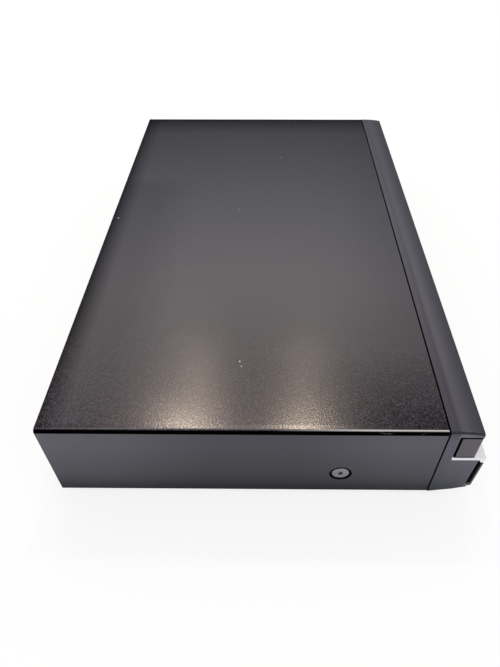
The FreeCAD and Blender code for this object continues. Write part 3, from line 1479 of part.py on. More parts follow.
def pickup_parts():
    """The two guide rods, the laser pickup that slides on them, and its feed screw and motor."""
    window = WINDOW_REAR - WINDOW_FRONT
    rods = [rod("y", x, WINDOW_FRONT, ROD_Z, S.rod_radius, window) for x in spread(TRAY_X, S.rod_spread)]
    keep("guide_rods", several(rods))
    depth = spread(PICKUP_Y, S.pickup_length)
    block = box(spread(TRAY_X, S.pickup_width), depth, spread(ROD_Z, S.pickup_height))
    arm = box((TRAY_X, FEED_X + 2 * S.feed_radius), spread(PICKUP_Y, S.feed_nut_length),
              spread(ROD_Z, S.feed_nut_height))
    lens = rod("z", TRAY_X, PICKUP_Y, ROD_Z + S.pickup_height / 2 - S.fit_gap, S.lens_radius, S.lens_height)
    places = [(x, S.rod_radius) for x in spread(TRAY_X, S.rod_spread)] + [(FEED_X, S.feed_radius)]
    bores = [rod("y", x, depth[0] - OVER, ROD_Z, radius + S.running_gap, S.pickup_length + 2 * OVER)
             for x, radius in places]
    keep("pickup", cut(joined([block, arm, lens]), bores))
    deep = S.feed_bearing
    keep("feed_screw", rod("y", FEED_X, WINDOW_FRONT + S.fit_gap, ROD_Z, S.feed_radius,
                           window - S.fit_gap + deep))
    can = rod("y", FEED_X, WINDOW_REAR, ROD_Z, S.feed_motor_radius, S.feed_motor_length)
    hole = rod("y", FEED_X, WINDOW_REAR - OVER, ROD_Z, S.feed_radius + S.running_gap,
               deep + OVER + S.end_gap)
    keep("feed_motor", cut(can, [hole]))


# Soldered parts of a board, in steps of its grid: x and y of the middle, width, depth and height.
# Those of the main board start from its front left corner, the others from the board's middle.
DRIVE_CHIPS = (
    (-25.0, -15.0, 20.0, 20.0, 1.8), (20.0, 10.0, 14.0, 10.0, 1.6), (-30.0, 28.0, 18.0, 8.0, 1.6),
    (30.0, -28.0, 24.0, 6.0, 3.5),
)
DISK_CHIPS = ((-12.0, 8.0, 16.0, 16.0, 1.8), (18.0, -20.0, 12.0, 8.0, 1.8), (0.0, 46.0, 60.0, 6.0, 1.8))
POWER_BLOCKS = (
    (-28.0, -62.0, 18.0, 12.0, 14.0), (30.0, -66.0, 30.0, 8.0, 9.0), (-8.0, 30.0, 10.0, 20.0, 6.0),
    (28.0, 62.0, 26.0, 8.0, 10.0),
)
MAIN_BLOCKS = (
    (56.0, 10.0, 22.0, 12.0, 3.0), (106.0, 12.0, 24.0, 16.0, 2.4), (146.0, 14.0, 28.0, 18.0, 2.4),
    (186.0, 12.0, 12.0, 20.0, 3.0), (236.0, 24.0, 26.0, 26.0, 2.4), (236.0, 24.0, 22.0, 22.0, 12.0),
    (208.0, 10.0, 14.0, 8.0, 3.0),
)


def chips_on(chips, x, y, face):
    """Blocks that stand on a board's upper face, placed from the point x, y."""
    step = S.board_grid
    return [middle_box(x + step * right, y + step * back, face - S.fit_gap, step * width, step * deep,
                       step * height + S.fit_gap) for right, back, width, deep, height in chips]


def chips_under(chips, x, y, face):
    """Blocks that hang under a board's lower face, placed from the point x, y."""
    step = S.board_grid
    return [middle_box(x + step * right, y + step * back, face - step * height, step * width, step * deep,
                       step * height + S.fit_gap) for right, back, width, deep, height in chips]


def drive_carrier():
    """The steel bridge under the disc drive and the circuit board that hangs from it."""
    half = LOADER_HALF + S.bracket_margin
    depth = (LOADER_FRONT + S.bracket_front, LOADER_REAR - S.bracket_rear)
    low = LOADER_LOW - S.bracket_sheet
    pieces = [box(spread(TRAY_X, 2 * half), depth, (low, LOADER_LOW))]
    for side in (-1, 1):
        leg = in_order(side, TRAY_X + side * (half - S.bracket_sheet), TRAY_X + side * half)
        outer = half + S.bracket_foot
        foot = in_order(side, TRAY_X + side * (half - S.bracket_sheet), TRAY_X + side * outer)
        pieces.append(box(leg, depth, (FLOOR, LOADER_LOW)))
        pieces.append(box(foot, depth, (FLOOR, FLOOR + S.bracket_sheet)))
    keep("drive_bracket", joined(pieces))
    middle_y = (depth[0] + depth[1]) / 2
    top = low - S.drive_board_drop
    board = box(spread(TRAY_X, S.drive_board_width), spread(middle_y, S.drive_board_depth),
                (top - S.board_thickness, top))
    parts = [board]
    for x in inset(spread(TRAY_X, S.drive_board_width), S.boss_inset):
        for y in inset(spread(middle_y, S.drive_board_depth), S.boss_inset):
            parts.append(rod("z", x, y, top - OVER / 2, S.stud_radius, S.drive_board_drop + OVER / 2))
    parts += chips_under(DRIVE_CHIPS, TRAY_X, middle_y, top - S.board_thickness)
    keep("drive_board", joined(parts))


DISK_LOW = FLOOR + S.disk_drive_up
DISK_BASE = DISK_LOW + S.disk_board_height
DISK_TOP = DISK_BASE + S.disk_base_height
PLATTER_Y = DISK_Y + S.platter_back
ARM_X, ARM_Y = DISK_X + S.arm_side, DISK_Y + S.arm_back
DISK_CAVITY = DISK_BASE + S.disk_base_floor
FIRST_PLATTER = DISK_CAVITY + S.first_platter_up
ARM_PARKED = math.radians(-110.4)


def hard_disk():
    """The hard disk drive: base, lid, platters, swinging arm, circuit board and carriers."""
    base = new_body("hdd_base")
    across, deep = spread(DISK_X, S.disk_drive_width), spread(DISK_Y, S.disk_drive_length)
    add(base, "XY", (DISK_BASE, DISK_TOP), oblong(across, deep))
    platter_room = circle(DISK_X, PLATTER_Y, S.platter_radius + S.platter_gap)
    take(base, "XY", (DISK_CAVITY, DISK_TOP + OVER), platter_room)
    room = oblong((ARM_X - S.arm_room_side, ARM_X - S.arm_room_side + S.arm_room_length),
                  (DISK_Y - S.arm_room_front, deep[1] - S.arm_room_wall))
    take(base, "XY", (DISK_CAVITY, DISK_TOP + OVER), room)
    add(base, "XY", (DISK_CAVITY - OVER, DISK_TOP - S.arm_post_gap), circle(ARM_X, ARM_Y, S.arm_post))
    take(base, "XY", (DISK_BASE + S.disk_bearing_floor, DISK_CAVITY + OVER),
         circle(DISK_X, PLATTER_Y, S.disk_shaft + S.running_gap))
    keep("hdd_lid", box(across, deep, (DISK_TOP, DISK_TOP + S.disk_lid_height)))
    hub_low = DISK_CAVITY + S.end_gap
    hub_top = FIRST_PLATTER + S.platter_pitch + S.platter_thickness + S.platter_clamp
    shaft_low = DISK_BASE + S.disk_bearing_floor + S.end_gap
    spinning = [rod("z", DISK_X, PLATTER_Y, shaft_low, S.disk_shaft, hub_low + OVER - shaft_low),
                rod("z", DISK_X, PLATTER_Y, hub_low, S.platter_hub, hub_top - hub_low)]
    for step in range(2):
        low = FIRST_PLATTER + S.platter_pitch * step
        spinning.append(rod("z", DISK_X, PLATTER_Y, low, S.platter_radius, S.platter_thickness))
    keep("hdd_platters", joined(spinning))
    between = FIRST_PLATTER + (S.platter_pitch + S.platter_thickness) / 2 - S.arm_thickness / 2
    arm_top = between + S.platter_pitch + S.arm_thickness + S.fit_gap
    arm = [rod("z", ARM_X, ARM_Y, hub_low, S.arm_hub, arm_top - hub_low)]
    for low in (between, between + S.platter_pitch):
        arm.append(arm_blade(low))
    hole = rod("z", ARM_X, ARM_Y, hub_low - OVER, S.arm_post + S.running_gap, arm_top - hub_low + 2 * OVER)
    keep("hdd_arm", cut(joined(arm), [hole]))
    board_low = DISK_BASE - S.board_thickness
    plate = box(inset(across, S.disk_board_side), inset(deep, S.disk_board_end), (board_low, DISK_BASE))
    keep("hdd_board", joined([plate] + chips_under(DISK_CHIPS, DISK_X, DISK_Y, board_low)))
    carriers = []
    for side in (-1, 1):
        inner = S.disk_drive_width / 2 + S.fit_gap
        outer = inner + S.bracket_sheet
        wall = in_order(side, DISK_X + side * inner, DISK_X + side * outer)
        foot = in_order(side, DISK_X + side * inner, DISK_X + side * (outer + S.disk_bracket_foot))
        length = inset(deep, S.disk_bracket_inset)
        carriers.append(joined([box(wall, length, (FLOOR, FLOOR + S.disk_bracket_height)),
                                box(foot, length, (FLOOR, FLOOR + S.bracket_sheet))]))
    keep("hdd_bracket", several(carriers))


def arm_blade(low):
    """One tapered arm of the head stack, from the pivot towards the parked place."""
    along = FreeCAD.Vector(math.cos(ARM_PARKED), math.sin(ARM_PARKED), 0)
    across = FreeCAD.Vector(-along.y, along.x, 0)
    length, root, tip = value(S.arm_length), value(S.arm_root), value(S.arm_tip)
    tail, tail_half = value(S.arm_tail), value(S.arm_tail_half)
    corners = [across * -root, along * length + across * -tip, along * length + across * tip,
               across * root, along * -tail + across * tail_half, along * -tail + across * -tail_half]
    face = Part.Face(Part.makePolygon(corners + corners[:1]))
    return shaped(face.extrude(FreeCAD.Vector(0, 0, value(S.arm_thickness))), ARM_X, ARM_Y, low)


BOARD_LOW = FLOOR + S.board_standoff
BOARD_TOP = BOARD_LOW + S.board_thickness


def power_supply():
    """The power board with its transformer, capacitors and finned heat sinks."""
    across, deep = spread(POWER_X, S.power_width), spread(POWER_Y, S.power_depth)
    small = [box(across, deep, (BOARD_LOW, BOARD_TOP))]
    small += chips_on(POWER_BLOCKS, POWER_X, POWER_Y, BOARD_TOP)
    fuse_x, fuse_y = across[0] + S.fuse_side, deep[1] - S.fuse_front
    for x in (fuse_x, fuse_x + S.fuse_length):
        small.append(middle_box(x, fuse_y, BOARD_TOP - S.fit_gap, S.fuse_clip, 3 * S.fuse_radius,
                                S.fuse_up + S.fuse_radius))
    small.append(rod("x", fuse_x, fuse_y, BOARD_TOP + S.fuse_up, S.fuse_radius, S.fuse_length))
    keep("power_board", joined(small))
    x, y = POWER_X - S.core_left, POWER_Y - S.core_ahead
    core = middle_box(x, y, BOARD_TOP + S.core_up, S.core_width, S.core_depth, S.core_height)
    coil_low = BOARD_TOP + S.core_up + (S.core_height - S.coil_height) / 2
    coil = rod("z", x, y, coil_low, S.coil_radius, S.coil_height)
    foot = middle_box(x, y, BOARD_TOP, S.bobbin_width, S.bobbin_depth, S.core_up + S.fit_gap)
    keep("transformer", joined([core, coil, foot]))
    step = S.board_grid
    cans = [rod("z", POWER_X + step * right, POWER_Y + step * back, BOARD_TOP, step * radius, step * high)
            for right, back, radius, high in POWER_CANS]
    keep("power_capacitors", several(cans))
    sinks = [heat_sink(POWER_X + step * right, POWER_Y + step * back, fins)
             for right, back, fins in POWER_SINKS]
    keep("heat_sinks", several(sinks))


# The cans of the power board in grid steps: x and y from the board's middle, radius and height.
POWER_CANS = (
    (24.0, 34.0, 11.0, 32.0), (-34.0, 4.0, 6.0, 25.0), (-34.0, -12.0, 6.0, 25.0), (-34.0, -28.0, 5.0, 20.0),
    (34.0, -44.0, 5.0, 16.0),
)
# The heat sinks of the power board: x and y from the board's middle in grid steps, and fins.
POWER_SINKS = ((34.0, -6.0, 8), (-22.0, 52.0, 4))


def heat_sink(x, y, fins):
    """A plate that stands on the power board, with a row of fins towards +x."""
    pieces = [middle_box(x, y, BOARD_TOP, S.sink_plate, S.fin_pitch * fins, S.sink_height)]
    for step in range(fins):
        fin_y = y + S.fin_pitch * (step - (fins - 1) / 2)
        pieces.append(box((x, x + S.fin_length), spread(fin_y, S.fin_thickness),
                          (BOARD_TOP + S.fin_up, BOARD_TOP + S.sink_height)))
    return joined(pieces)


def mains_inlet():
    """The two-pin mains inlet in the rear panel."""
    z = up(S.inlet_up)
    wide = S.inlet_width + 2 * S.inlet_wall
    tall = S.inlet_height + 2 * S.inlet_wall
    deep = S.inlet_depth + S.inlet_wall
    mouth = PANEL_BACK + S.inlet_flange_thickness
    shell = box(spread(INLET_X, wide), (mouth - deep, mouth), spread(z, tall))
    flange = box(spread(INLET_X, wide + 2 * S.inlet_flange), (PANEL_BACK, mouth),
                 spread(z, tall + S.inlet_flange))
    floor = mouth - S.inlet_depth
    room = box(spread(INLET_X, S.inlet_width), (floor, mouth + OVER), spread(z, S.inlet_height))
    pins = [rod("y", x, floor - OVER / 2, z, S.inlet_pin, S.inlet_pin_length)
            for x in spread(INLET_X, S.inlet_pin_pitch)]
    keep("mains_inlet", joined([cut(joined([shell, flange]), [room])] + pins))


def scart_middles():
    """The heights of the two wide sockets."""
    return [up(S.scart_up), up(S.scart_up + S.scart_pitch)]


def jack_places():
    """The middles of the rear round sockets."""
    return [(FIRST_JACK_X + S.jack_pitch * column, up(S.jack_rows_up + S.jack_row_pitch * row))
            for column in range(int(value(S.jack_columns))) for row in range(2)]


def aerial_heights():
    """The heights of the aerial input and output."""
    return [up(S.aerial_up), up(S.aerial_up + S.aerial_pitch)]


def main_electronics():
    """The main circuit board with chips, tuner, and the sockets that reach through the rear panel."""
    front = PANEL_FRONT - S.main_depth
    board = box((MAIN_LEFT, MAIN_RIGHT), (front, PANEL_FRONT), (BOARD_LOW, BOARD_TOP))
    keep("main_board", joined([board] + chips_on(MAIN_BLOCKS, MAIN_LEFT, front, BOARD_TOP)))
    can = box(spread(TUNER_X, S.tuner_width), (PANEL_FRONT - S.tuner_depth, PANEL_FRONT),
              (BOARD_TOP, BOARD_TOP + S.tuner_height))
    reach = REAR + S.rear_reach - PANEL_FRONT
    collar = S.chassis_sheet + S.aerial_collar_proud
    barrels = []
    for z in aerial_heights():
        barrels.append(rod("y", TUNER_X, PANEL_FRONT - OVER, z, S.aerial_radius, reach + OVER))
        barrels.append(rod("y", TUNER_X, PANEL_FRONT - OVER, z, S.aerial_collar_radius, collar + OVER))
    bores = [rod("y", TUNER_X, PANEL_BACK + OVER, z, S.aerial_bore, reach) for z in aerial_heights()]
    keep("tuner_module", cut(joined([can] + barrels), bores))
    rear_sockets()
    middle = PANEL_FRONT - S.digital_depth / 2
    low = BOARD_TOP + S.digital_up
    items = []
    for x, wide, tall, proud in DIGITAL_SOCKETS:
        block = middle_box(MAIN_LEFT + x, middle, BOARD_TOP, wide + 2 * S.digital_wall, S.digital_depth,
                           tall + 2 * S.digital_up)
        mouth = box(spread(MAIN_LEFT + x, wide), (PANEL_FRONT - OVER, PANEL_BACK + proud), (low, low + tall))
        items.append(joined([block, mouth]))
    keep("digital_sockets", several(items))


# The flat and the square digital socket: x from the main board's left end, width, height and
# how far each stands proud.
DIGITAL_SOCKETS = ((192.0, 15.0, 6.0, 0.8), (216.0, 10.0, 10.0, 2.0))


def scart_opening(z, gap):
    """The outline of the part of a wide socket that passes through the rear panel."""
    return (spread(SCART_X, S.scart_width - 2 * S.scart_step + 2 * gap),
            spread(z, S.scart_height - S.scart_step + 2 * gap))


def rear_sockets():
    """The two wide sockets on one carrier and the ten round sockets on another."""
    pieces = [box(spread(SCART_X, S.scart_width), (PANEL_FRONT - S.scart_depth, PANEL_FRONT - S.scart_step),
                  (BOARD_TOP, scart_middles()[1] + S.scart_height / 2))]
    grooves = []
    face = PANEL_BACK + S.scart_proud
    for z in scart_middles():
        across, high = scart_opening(z, 0.0)
        pieces.append(box(across, (PANEL_FRONT - S.scart_step - OVER, face), high))
        mouth = (face - S.scart_groove_depth, face + OVER)
        around = box(spread(SCART_X, S.scart_core_width + 2 * S.scart_groove), mouth,
                     spread(z, S.scart_core_height + 2 * S.scart_groove))
        core = box(spread(SCART_X, S.scart_core_width), mouth, spread(z, S.scart_core_height))
        grooves.append(cut(around, [core]))
    keep("scart_sockets", cut(joined(pieces), grooves))
    last_x = FIRST_JACK_X + S.jack_pitch * (S.jack_columns - 1)
    margin = S.jack_carrier_margin
    pieces = [box((FIRST_JACK_X - margin, last_x + margin), (PANEL_FRONT - S.jack_carrier_depth, PANEL_FRONT),
                  (BOARD_TOP, up(S.jack_rows_up + S.jack_row_pitch) + margin))]
    bores = []
    start = PANEL_FRONT - OVER / 2
    for x, z in jack_places():
        pieces.append(rod("y", x, start, z, S.jack_barrel + S.jack_collar, JACK_COLLAR_END - start))
        pieces.append(rod("y", x, start, z, S.jack_barrel, PANEL_BACK + S.jack_reach - start))
        bores.append(rod("y", x, PANEL_BACK, z, S.jack_bore, S.jack_reach + OVER))
    keep("av_jacks", cut(joined(pieces), bores))


JACK_COLLAR_END = PANEL_BACK + S.jack_collar


def rear_panel():
    """The steel rear panel with its socket holes, screw holes and fan grille."""
    body = new_body("rear_panel")
    half = HALF - S.cover_sheet - S.panel_gap
    top = TOP - S.cover_sheet - S.panel_gap
    bend = S.cover_bend - S.cover_sheet - S.panel_gap
    add(body, "XZ", (PANEL_FRONT, PANEL_BACK), [
        (-half, BASE), (half, BASE), (half, top - bend, bend),
        (half - bend, top), (-half + bend, top, bend), (-half, top - bend),
    ])
    span = (PANEL_FRONT - OVER, PANEL_BACK + OVER)
    gap = S.end_gap
    holes = [circle(TUNER_X, z, S.aerial_collar_radius + gap) for z in aerial_heights()]
    holes += [circle(x, z, S.jack_barrel + S.jack_collar + gap) for x, z in jack_places()]
    holes += [oblong(*scart_opening(z, gap)) for z in scart_middles()]
    for x, wide, tall, _ in DIGITAL_SOCKETS:
        low = BOARD_TOP + S.digital_up
        holes.append(oblong(spread(MAIN_LEFT + x, wide + 2 * gap), (low - gap, low + tall + gap)))
    holes.append(oblong(spread(INLET_X, S.inlet_width + 2 * S.inlet_wall + 2 * gap),
                        spread(up(S.inlet_up), S.inlet_height + 2 * S.inlet_wall + 2 * gap)))
    take(body, "XZ", span, *holes)
    room = S.screw_shank_radius + S.screw_clearance
    screws = [circle(x, LIP_SCREW_Z, room) for x in LIP_SCREWS_X]
    screws += [circle(x, z, room) for x, z in fan_corners()]
    take(body, "XZ", span, *screws)
    grille = [circle(FAN_X, FAN_Z, S.grille_hole)]
    for ring in range(1, int(value(S.grille_rings)) + 1):
        reach = S.grille_pitch * ring
        for step in range(6 * ring):
            angle = 2 * math.pi * step / (6 * ring)
            grille.append(circle(FAN_X + reach * math.cos(angle), FAN_Z + reach * math.sin(angle),
                                 S.grille_hole))
    take(body, "XZ", span, *grille)


def fan_corners():
    """The middles of the fan's four screw holes: x and z."""
    return [(x, z) for x in spread(FAN_X, S.fan_screw_pitch) for z in spread(FAN_Z, S.fan_screw_pitch)]


def fan():
    """The square fan frame on the rear panel and the rotor that turns in it."""
    z = FAN_Z
    back = PANEL_FRONT
    front = back - S.fan_depth
    frame = box(spread(FAN_X, S.fan_size), (front, back), spread(z, S.fan_size))
    through = S.fan_depth + 2 * OVER
    room = S.screw_shank_radius + S.screw_clearance
    holes = [rod("y", x, front - OVER, corner, room, through) for x, corner in fan_corners()]
    holes.append(rod("y", FAN_X, front - OVER, z, S.fan_bore, through))
    plate_front = back - S.fan_plate
    bearing_front = plate_front - S.fan_bearing
    reach = 2 * S.fan_bore + OVER
    strut = (plate_front + S.fan_plate / 4, back)
    pieces = [cut(frame, holes), rod("y", FAN_X, plate_front, z, S.fan_hub, S.fan_plate),
              rod("y", FAN_X, bearing_front, z, 2 * S.fan_shaft, S.fan_bearing + OVER),
              box(spread(FAN_X, reach), strut, spread(z, S.fan_strut)),
              box(spread(FAN_X, S.fan_strut), strut, spread(z, reach))]
    cup_front, cup_rear = front + OVER / 2, plate_front - S.end_gap
    shaft_front, shaft_rear = cup_front + OVER / 2, cup_rear + S.fan_plate / 2
    hole = rod("y", FAN_X, bearing_front - OVER, z, S.fan_shaft + S.running_gap,
               shaft_rear + S.end_gap - bearing_front + OVER)
    keep("fan_frame", cut(joined(pieces), [hole]))
    cup = rod("y", FAN_X, cup_front, z, S.fan_hub, cup_rear - cup_front)
    hollow = rod("y", FAN_X, cup_front + S.fan_wall, z, S.fan_hub - S.fan_wall, cup_rear - cup_front)
    rotor = [cut(cup, [hollow]), rod("y", FAN_X, shaft_front, z, S.fan_shaft, shaft_rear - shaft_front)]
    count = int(value(S.fan_blades))
    blade = fan_blade()
    for step in range(count):
        item = doc.addObject("Part::Feature", "Blade")
        item.Shape = blade.rotated(FreeCAD.Vector(), FreeCAD.Vector(0, 1, 0), 360.0 * step / count)
        item.Placement.Base = FreeCAD.Vector(value(FAN_X), value((cup_front + cup_rear) / 2), value(z))
        rotor.append(item)
    keep("fan_rotor", joined(rotor))


def fan_blade():
    """One pitched blade about the y axis, pointing along +z and trimmed to the blade circle."""
    hub, tip = value(S.fan_hub) - OVER / 2, value(S.fan_blade)
    thick, wide = value(S.blade_thickness), value(S.blade_width)
    plate = Part.makeBox(wide, thick, tip, FreeCAD.Vector(-wide / 2, -thick / 2, 0))
    plate.rotate(FreeCAD.Vector(), FreeCAD.Vector(0, 0, 1), value(S.blade_angle))
    deep = 20.0
    ring = Part.makeCylinder(tip, deep, FreeCAD.Vector(0, -deep / 2, 0), FreeCAD.Vector(0, 1, 0))
    core = Part.makeCylinder(hub, deep, FreeCAD.Vector(0, -deep / 2, 0), FreeCAD.Vector(0, 1, 0))
    return plate.common(ring.cut(core))


def flat_cables():
    """The flat cable from the main board up to the rear of the disc drive."""
    body = new_body("drive_ribbon")
    thick, bend = S.ribbon_thickness, S.ribbon_bend
    y = PANEL_FRONT - S.main_depth + S.ribbon_inset
    high = LOADER_FLOOR + S.ribbon_up
    path = [
        (y, BOARD_TOP), (y + thick, BOARD_TOP), (y + thick, high - bend, bend + thick),
        (y - bend, high + thick), (LOADER_REAR, high + thick), (LOADER_REAR, high),
        (y - bend, high, -bend), (y, high - bend),
    ]
    add(body, "YZ", spread(TRAY_X, S.ribbon_width), path)


SECTIONS = (
    top_cover, bottom_chassis, feet, side_screws, panel_screws, rear_panel,
    front_frame, upper_fascia, ledge_trim, flap_door, tray_front, display_window,
    front_keys, front_electronics,
    disc_tray, loader_frame, loader_cover, clamper, loading_gears, cam_slider, traverse,
    spindle_and_turntable, pickup_parts, drive_carrier,
    hard_disk, power_supply, mains_inlet, main_electronics, fan, flat_cables,
)


def main():
    """Build every sub-part, check it and write its file."""
    for build in SECTIONS:
        build()
    doc.recompute()
    broken = [o.Label for o in doc.Objects if {"Invalid", "Error"} & set(o.State)]
    if broken:
        raise ValueError("failed: " + ", ".join(broken))
    for label, item in NODES.items():
        if item.Shape.isNull() or not item.Shape.isValid() or not item.Shape.Solids:
            raise ValueError(f"{label} has no valid solid")
    os.makedirs("parts", exist_ok=True)
    for label, item in NODES.items():
        item.Shape.exportStep(f"parts/{label}.step")
        bounds = item.Shape.BoundBox
        print(f"{label}: {len(item.Shape.Solids)} solids, {item.Shape.Volume:.0f} mm3, "
              f"x {bounds.XMin:.1f} {bounds.XMax:.1f} y {bounds.YMin:.1f} {bounds.YMax:.1f} "
              f"z {bounds.ZMin:.1f} {bounds.ZMax:.1f}")


main()
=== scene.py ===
import json
import math

import bpy
from mathutils import Matrix, Vector
from mathutils.geometry import tessellate_polygon


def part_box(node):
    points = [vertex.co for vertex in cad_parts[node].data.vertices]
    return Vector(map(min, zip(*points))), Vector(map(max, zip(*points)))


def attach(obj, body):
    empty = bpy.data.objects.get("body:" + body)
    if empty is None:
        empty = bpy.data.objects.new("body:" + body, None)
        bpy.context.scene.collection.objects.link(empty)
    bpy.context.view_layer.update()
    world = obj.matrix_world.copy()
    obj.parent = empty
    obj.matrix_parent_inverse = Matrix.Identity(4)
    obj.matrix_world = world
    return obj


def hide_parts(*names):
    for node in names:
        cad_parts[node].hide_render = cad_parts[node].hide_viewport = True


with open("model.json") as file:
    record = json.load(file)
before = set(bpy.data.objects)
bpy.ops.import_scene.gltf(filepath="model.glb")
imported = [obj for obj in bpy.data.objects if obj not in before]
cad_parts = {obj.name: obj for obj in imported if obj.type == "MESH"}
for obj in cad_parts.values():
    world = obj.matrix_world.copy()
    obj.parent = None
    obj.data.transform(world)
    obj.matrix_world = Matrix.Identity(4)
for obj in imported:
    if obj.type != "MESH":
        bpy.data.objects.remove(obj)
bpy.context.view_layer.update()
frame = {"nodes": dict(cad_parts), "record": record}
NODES = frame["nodes"]
scene = bpy.context.scene
scene.view_settings.view_transform = "Standard"


# Short ways to make objects and node trees

def new_object(name, data):
    obj = bpy.data.objects.new(name, data)
    scene.collection.objects.link(obj)
    return obj


def new_mesh(name, points, faces):
    mesh = bpy.data.meshes.new(name)
    mesh.from_pydata(points, [], faces)
    mesh.validate()
    return new_object(name, mesh)


def ring_faces(rings, steps):
    """The faces between rings of points that follow each other."""
    faces = []
    for ring in range(rings):
        for step in range(steps):
            after = (step + 1) % steps
            a, b = ring * steps + step, ring * steps + after
            faces.append((a, b, b + steps, a + steps))
    return faces


def darker_and_lighter(colour, share):
    return tuple(c * (1 - share) for c in colour), tuple(min(1.0, c * (1 + share)) for c in colour)


class Tree:
    """The node tree of a world or a material, with short ways to add the nodes that it needs."""

    def __init__(self, owner, output="ShaderNodeOutputMaterial"):
        owner.use_nodes = True
        self.tree = owner.node_tree
        self.tree.nodes.clear()
        self.surface = self.add(output).inputs["Surface"]

    def add(self, kind):
        return self.tree.nodes.new(kind)

    def link(self, start, end):
        self.tree.links.new(start, end)

    def put(self, value, socket):
        """Set a socket to a number, a colour or the output of another node."""
        if hasattr(value, "links"):
            self.link(value, socket)
        elif isinstance(value, tuple) and len(value) == 3 and socket.type == "RGBA":
            socket.default_value = (*value, 1)
        else:
            socket.default_value = value

    def place(self):
        """The place on the object, in metres."""
        return self.add("ShaderNodeTexCoord").outputs["Object"]

    def split(self, vector):
        node = self.add("ShaderNodeSeparateXYZ")
        self.link(vector, node.inputs[0])
        return node.outputs[0], node.outputs[1], node.outputs[2]

    def math(self, kind, first, second=0.0):
        node = self.add("ShaderNodeMath")
        node.operation = kind
        self.put(first, node.inputs[0])
        self.put(second, node.inputs[1])
        return node.outputs[0]

    def times(self, value, *others):
        for other in others:
            value = self.math("MULTIPLY", value, other)
        return value

    def rest(self, share):
        """What a share leaves of 1."""
        return self.math("SUBTRACT", 1.0, share)

    def distance(self, across, along):
        """The distance from a point, from the distances along two axes."""
        return self.math("SQRT", self.math("ADD", self.times(across, across), self.times(along, along)))

    def spread(self, value, low, high, to_low=0.0, to_high=1.0):
        """The value taken from one range to another, and held at its ends."""
        node = self.add("ShaderNodeMapRange")
        node.clamp = True
        for socket, number in zip(node.inputs[1:5], (low, high, to_low, to_high)):
            socket.default_value = number
        self.link(value, node.inputs[0])
        return node.outputs[0]

    def ramp(self, value, stops):
        """The colour of a value on a ramp of (position, colour) stops."""
        node = self.add("ShaderNodeValToRGB")
        elements = node.color_ramp.elements
        while len(elements) < len(stops):
            elements.new(0.5)
        for element, (position, colour) in zip(elements, stops):
            element.position = position
            element.color = (*colour, 1)
        self.link(value, node.inputs[0])
        return node.outputs[0]

    def light(self, kind, colour, strength):
        """An emission or a background."""
        node = self.add(kind)
        self.put(colour, node.inputs["Color"])
        self.put(strength, node.inputs["Strength"])
        return node.outputs[0]

    def mix_shaders(self, share, first, second):
        """The first shader where the share is 0 and the second where it is 1."""
        node = self.add("ShaderNodeMixShader")
        for socket, value in zip(node.inputs, (share, first, second)):
            self.link(value, socket)
        return node.outputs[0]


class Paint(Tree):
    """The node tree of one material round a principled shader."""

    def __init__(self, name):
        self.material = bpy.data.materials.new(name)
        super().__init__(self.material)
        self.shader = self.add("ShaderNodeBsdfPrincipled")
        self.link(self.shader.outputs[0], self.surface)
        self.where = self.place()

    def shade(self, name, value):
        """Set one input of the shader."""
        self.put(value, self.shader.inputs[name])

    def axes(self):
        return self.split(self.where)

    def noise(self, scale, detail=2.0, rough=0.5, stretch=None):
        where = self.where
        if stretch:
            turn = self.add("ShaderNodeMapping")
            turn.inputs["Scale"].default_value = stretch
            self.link(where, turn.inputs["Vector"])
            where = turn.outputs["Vector"]
        node = self.add("ShaderNodeTexNoise")
        node.inputs["Scale"].default_value = scale
        node.inputs["Detail"].default_value = detail
        node.inputs["Roughness"].default_value = rough
        self.link(where, node.inputs["Vector"])
        return node.outputs["Fac"]

    def varied(self, noise, low=0.0, high=1.0):
        """A noise, which mostly lies between 0.3 and 0.7, taken to a range."""
        return self.spread(noise, 0.3, 0.7, low, high)

    def cells(self, scale):
        """Two numbers from 0 to 1 that change from one small cell to the next."""
        node = self.add("ShaderNodeTexVoronoi")
        node.inputs["Scale"].default_value = scale
        self.link(self.where, node.inputs["Vector"])
        parts = self.add("ShaderNodeSeparateColor")
        self.link(node.outputs["Color"], parts.inputs[0])
        return parts.outputs[0], parts.outputs[1]

    def mix(self, share, first, second):
        """The first colour where the share is 0 and the second where it is 1."""
        node = self.add("ShaderNodeMix")
        node.data_type = "RGBA"
        sockets = [s for s in node.inputs if s.type == "RGBA"]
        self.put(share, node.inputs[0])
        self.put(first, sockets[0])
        self.put(second, sockets[1])
        return [s for s in node.outputs if s.type == "RGBA"][0]

    def toned(self, colour, tone, scale, stretch=None):
        """A colour that varies a little from place to place."""
        return self.mix(self.varied(self.noise(scale, 3.0, 0.6, stretch)), *darker_and_lighter(colour, tone))

    def roughness(self, noise, low, high):
        self.shade("Roughness", self.varied(noise, low, high))

    def raised(self, texture, height, normal=None):
        """The normal of bumps with a height in metres, on top of another normal."""
        node = self.add("ShaderNodeBump")
        node.inputs["Strength"].default_value = 1.0
        node.inputs["Distance"].default_value = height
        self.link(texture, node.inputs["Height"])
        if normal:
            self.link(normal, node.inputs["Normal"])
        return node.outputs[0]

    def bump(self, texture, height, edge):
        """Bumps all over, on edges that are softened by a radius unless it is 0."""
        normal = None
        if edge:
            node = self.add("ShaderNodeBevel")
            node.samples = 4
            node.inputs["Radius"].default_value = edge
            normal = node.outputs[0]
        self.shade("Normal", self.raised(texture, height, normal))


# Camera at the photo's place, and the studio

# The camera that was fitted to the photo: millimetres, a share of the width, and metres.
LENS, SENSOR_WIDTH, SHIFT_X = 28.83, 36.0, -0.0208
CLIP_START, CLIP_END = 0.01, 50.0
CAMERA_PLACE = (-0.39335, -0.00739, 0.33074)
CAMERA_FORWARD, CAMERA_UP = (0.70777, 0.0072, -0.70641), (0.70640, 0.00466, 0.70780)

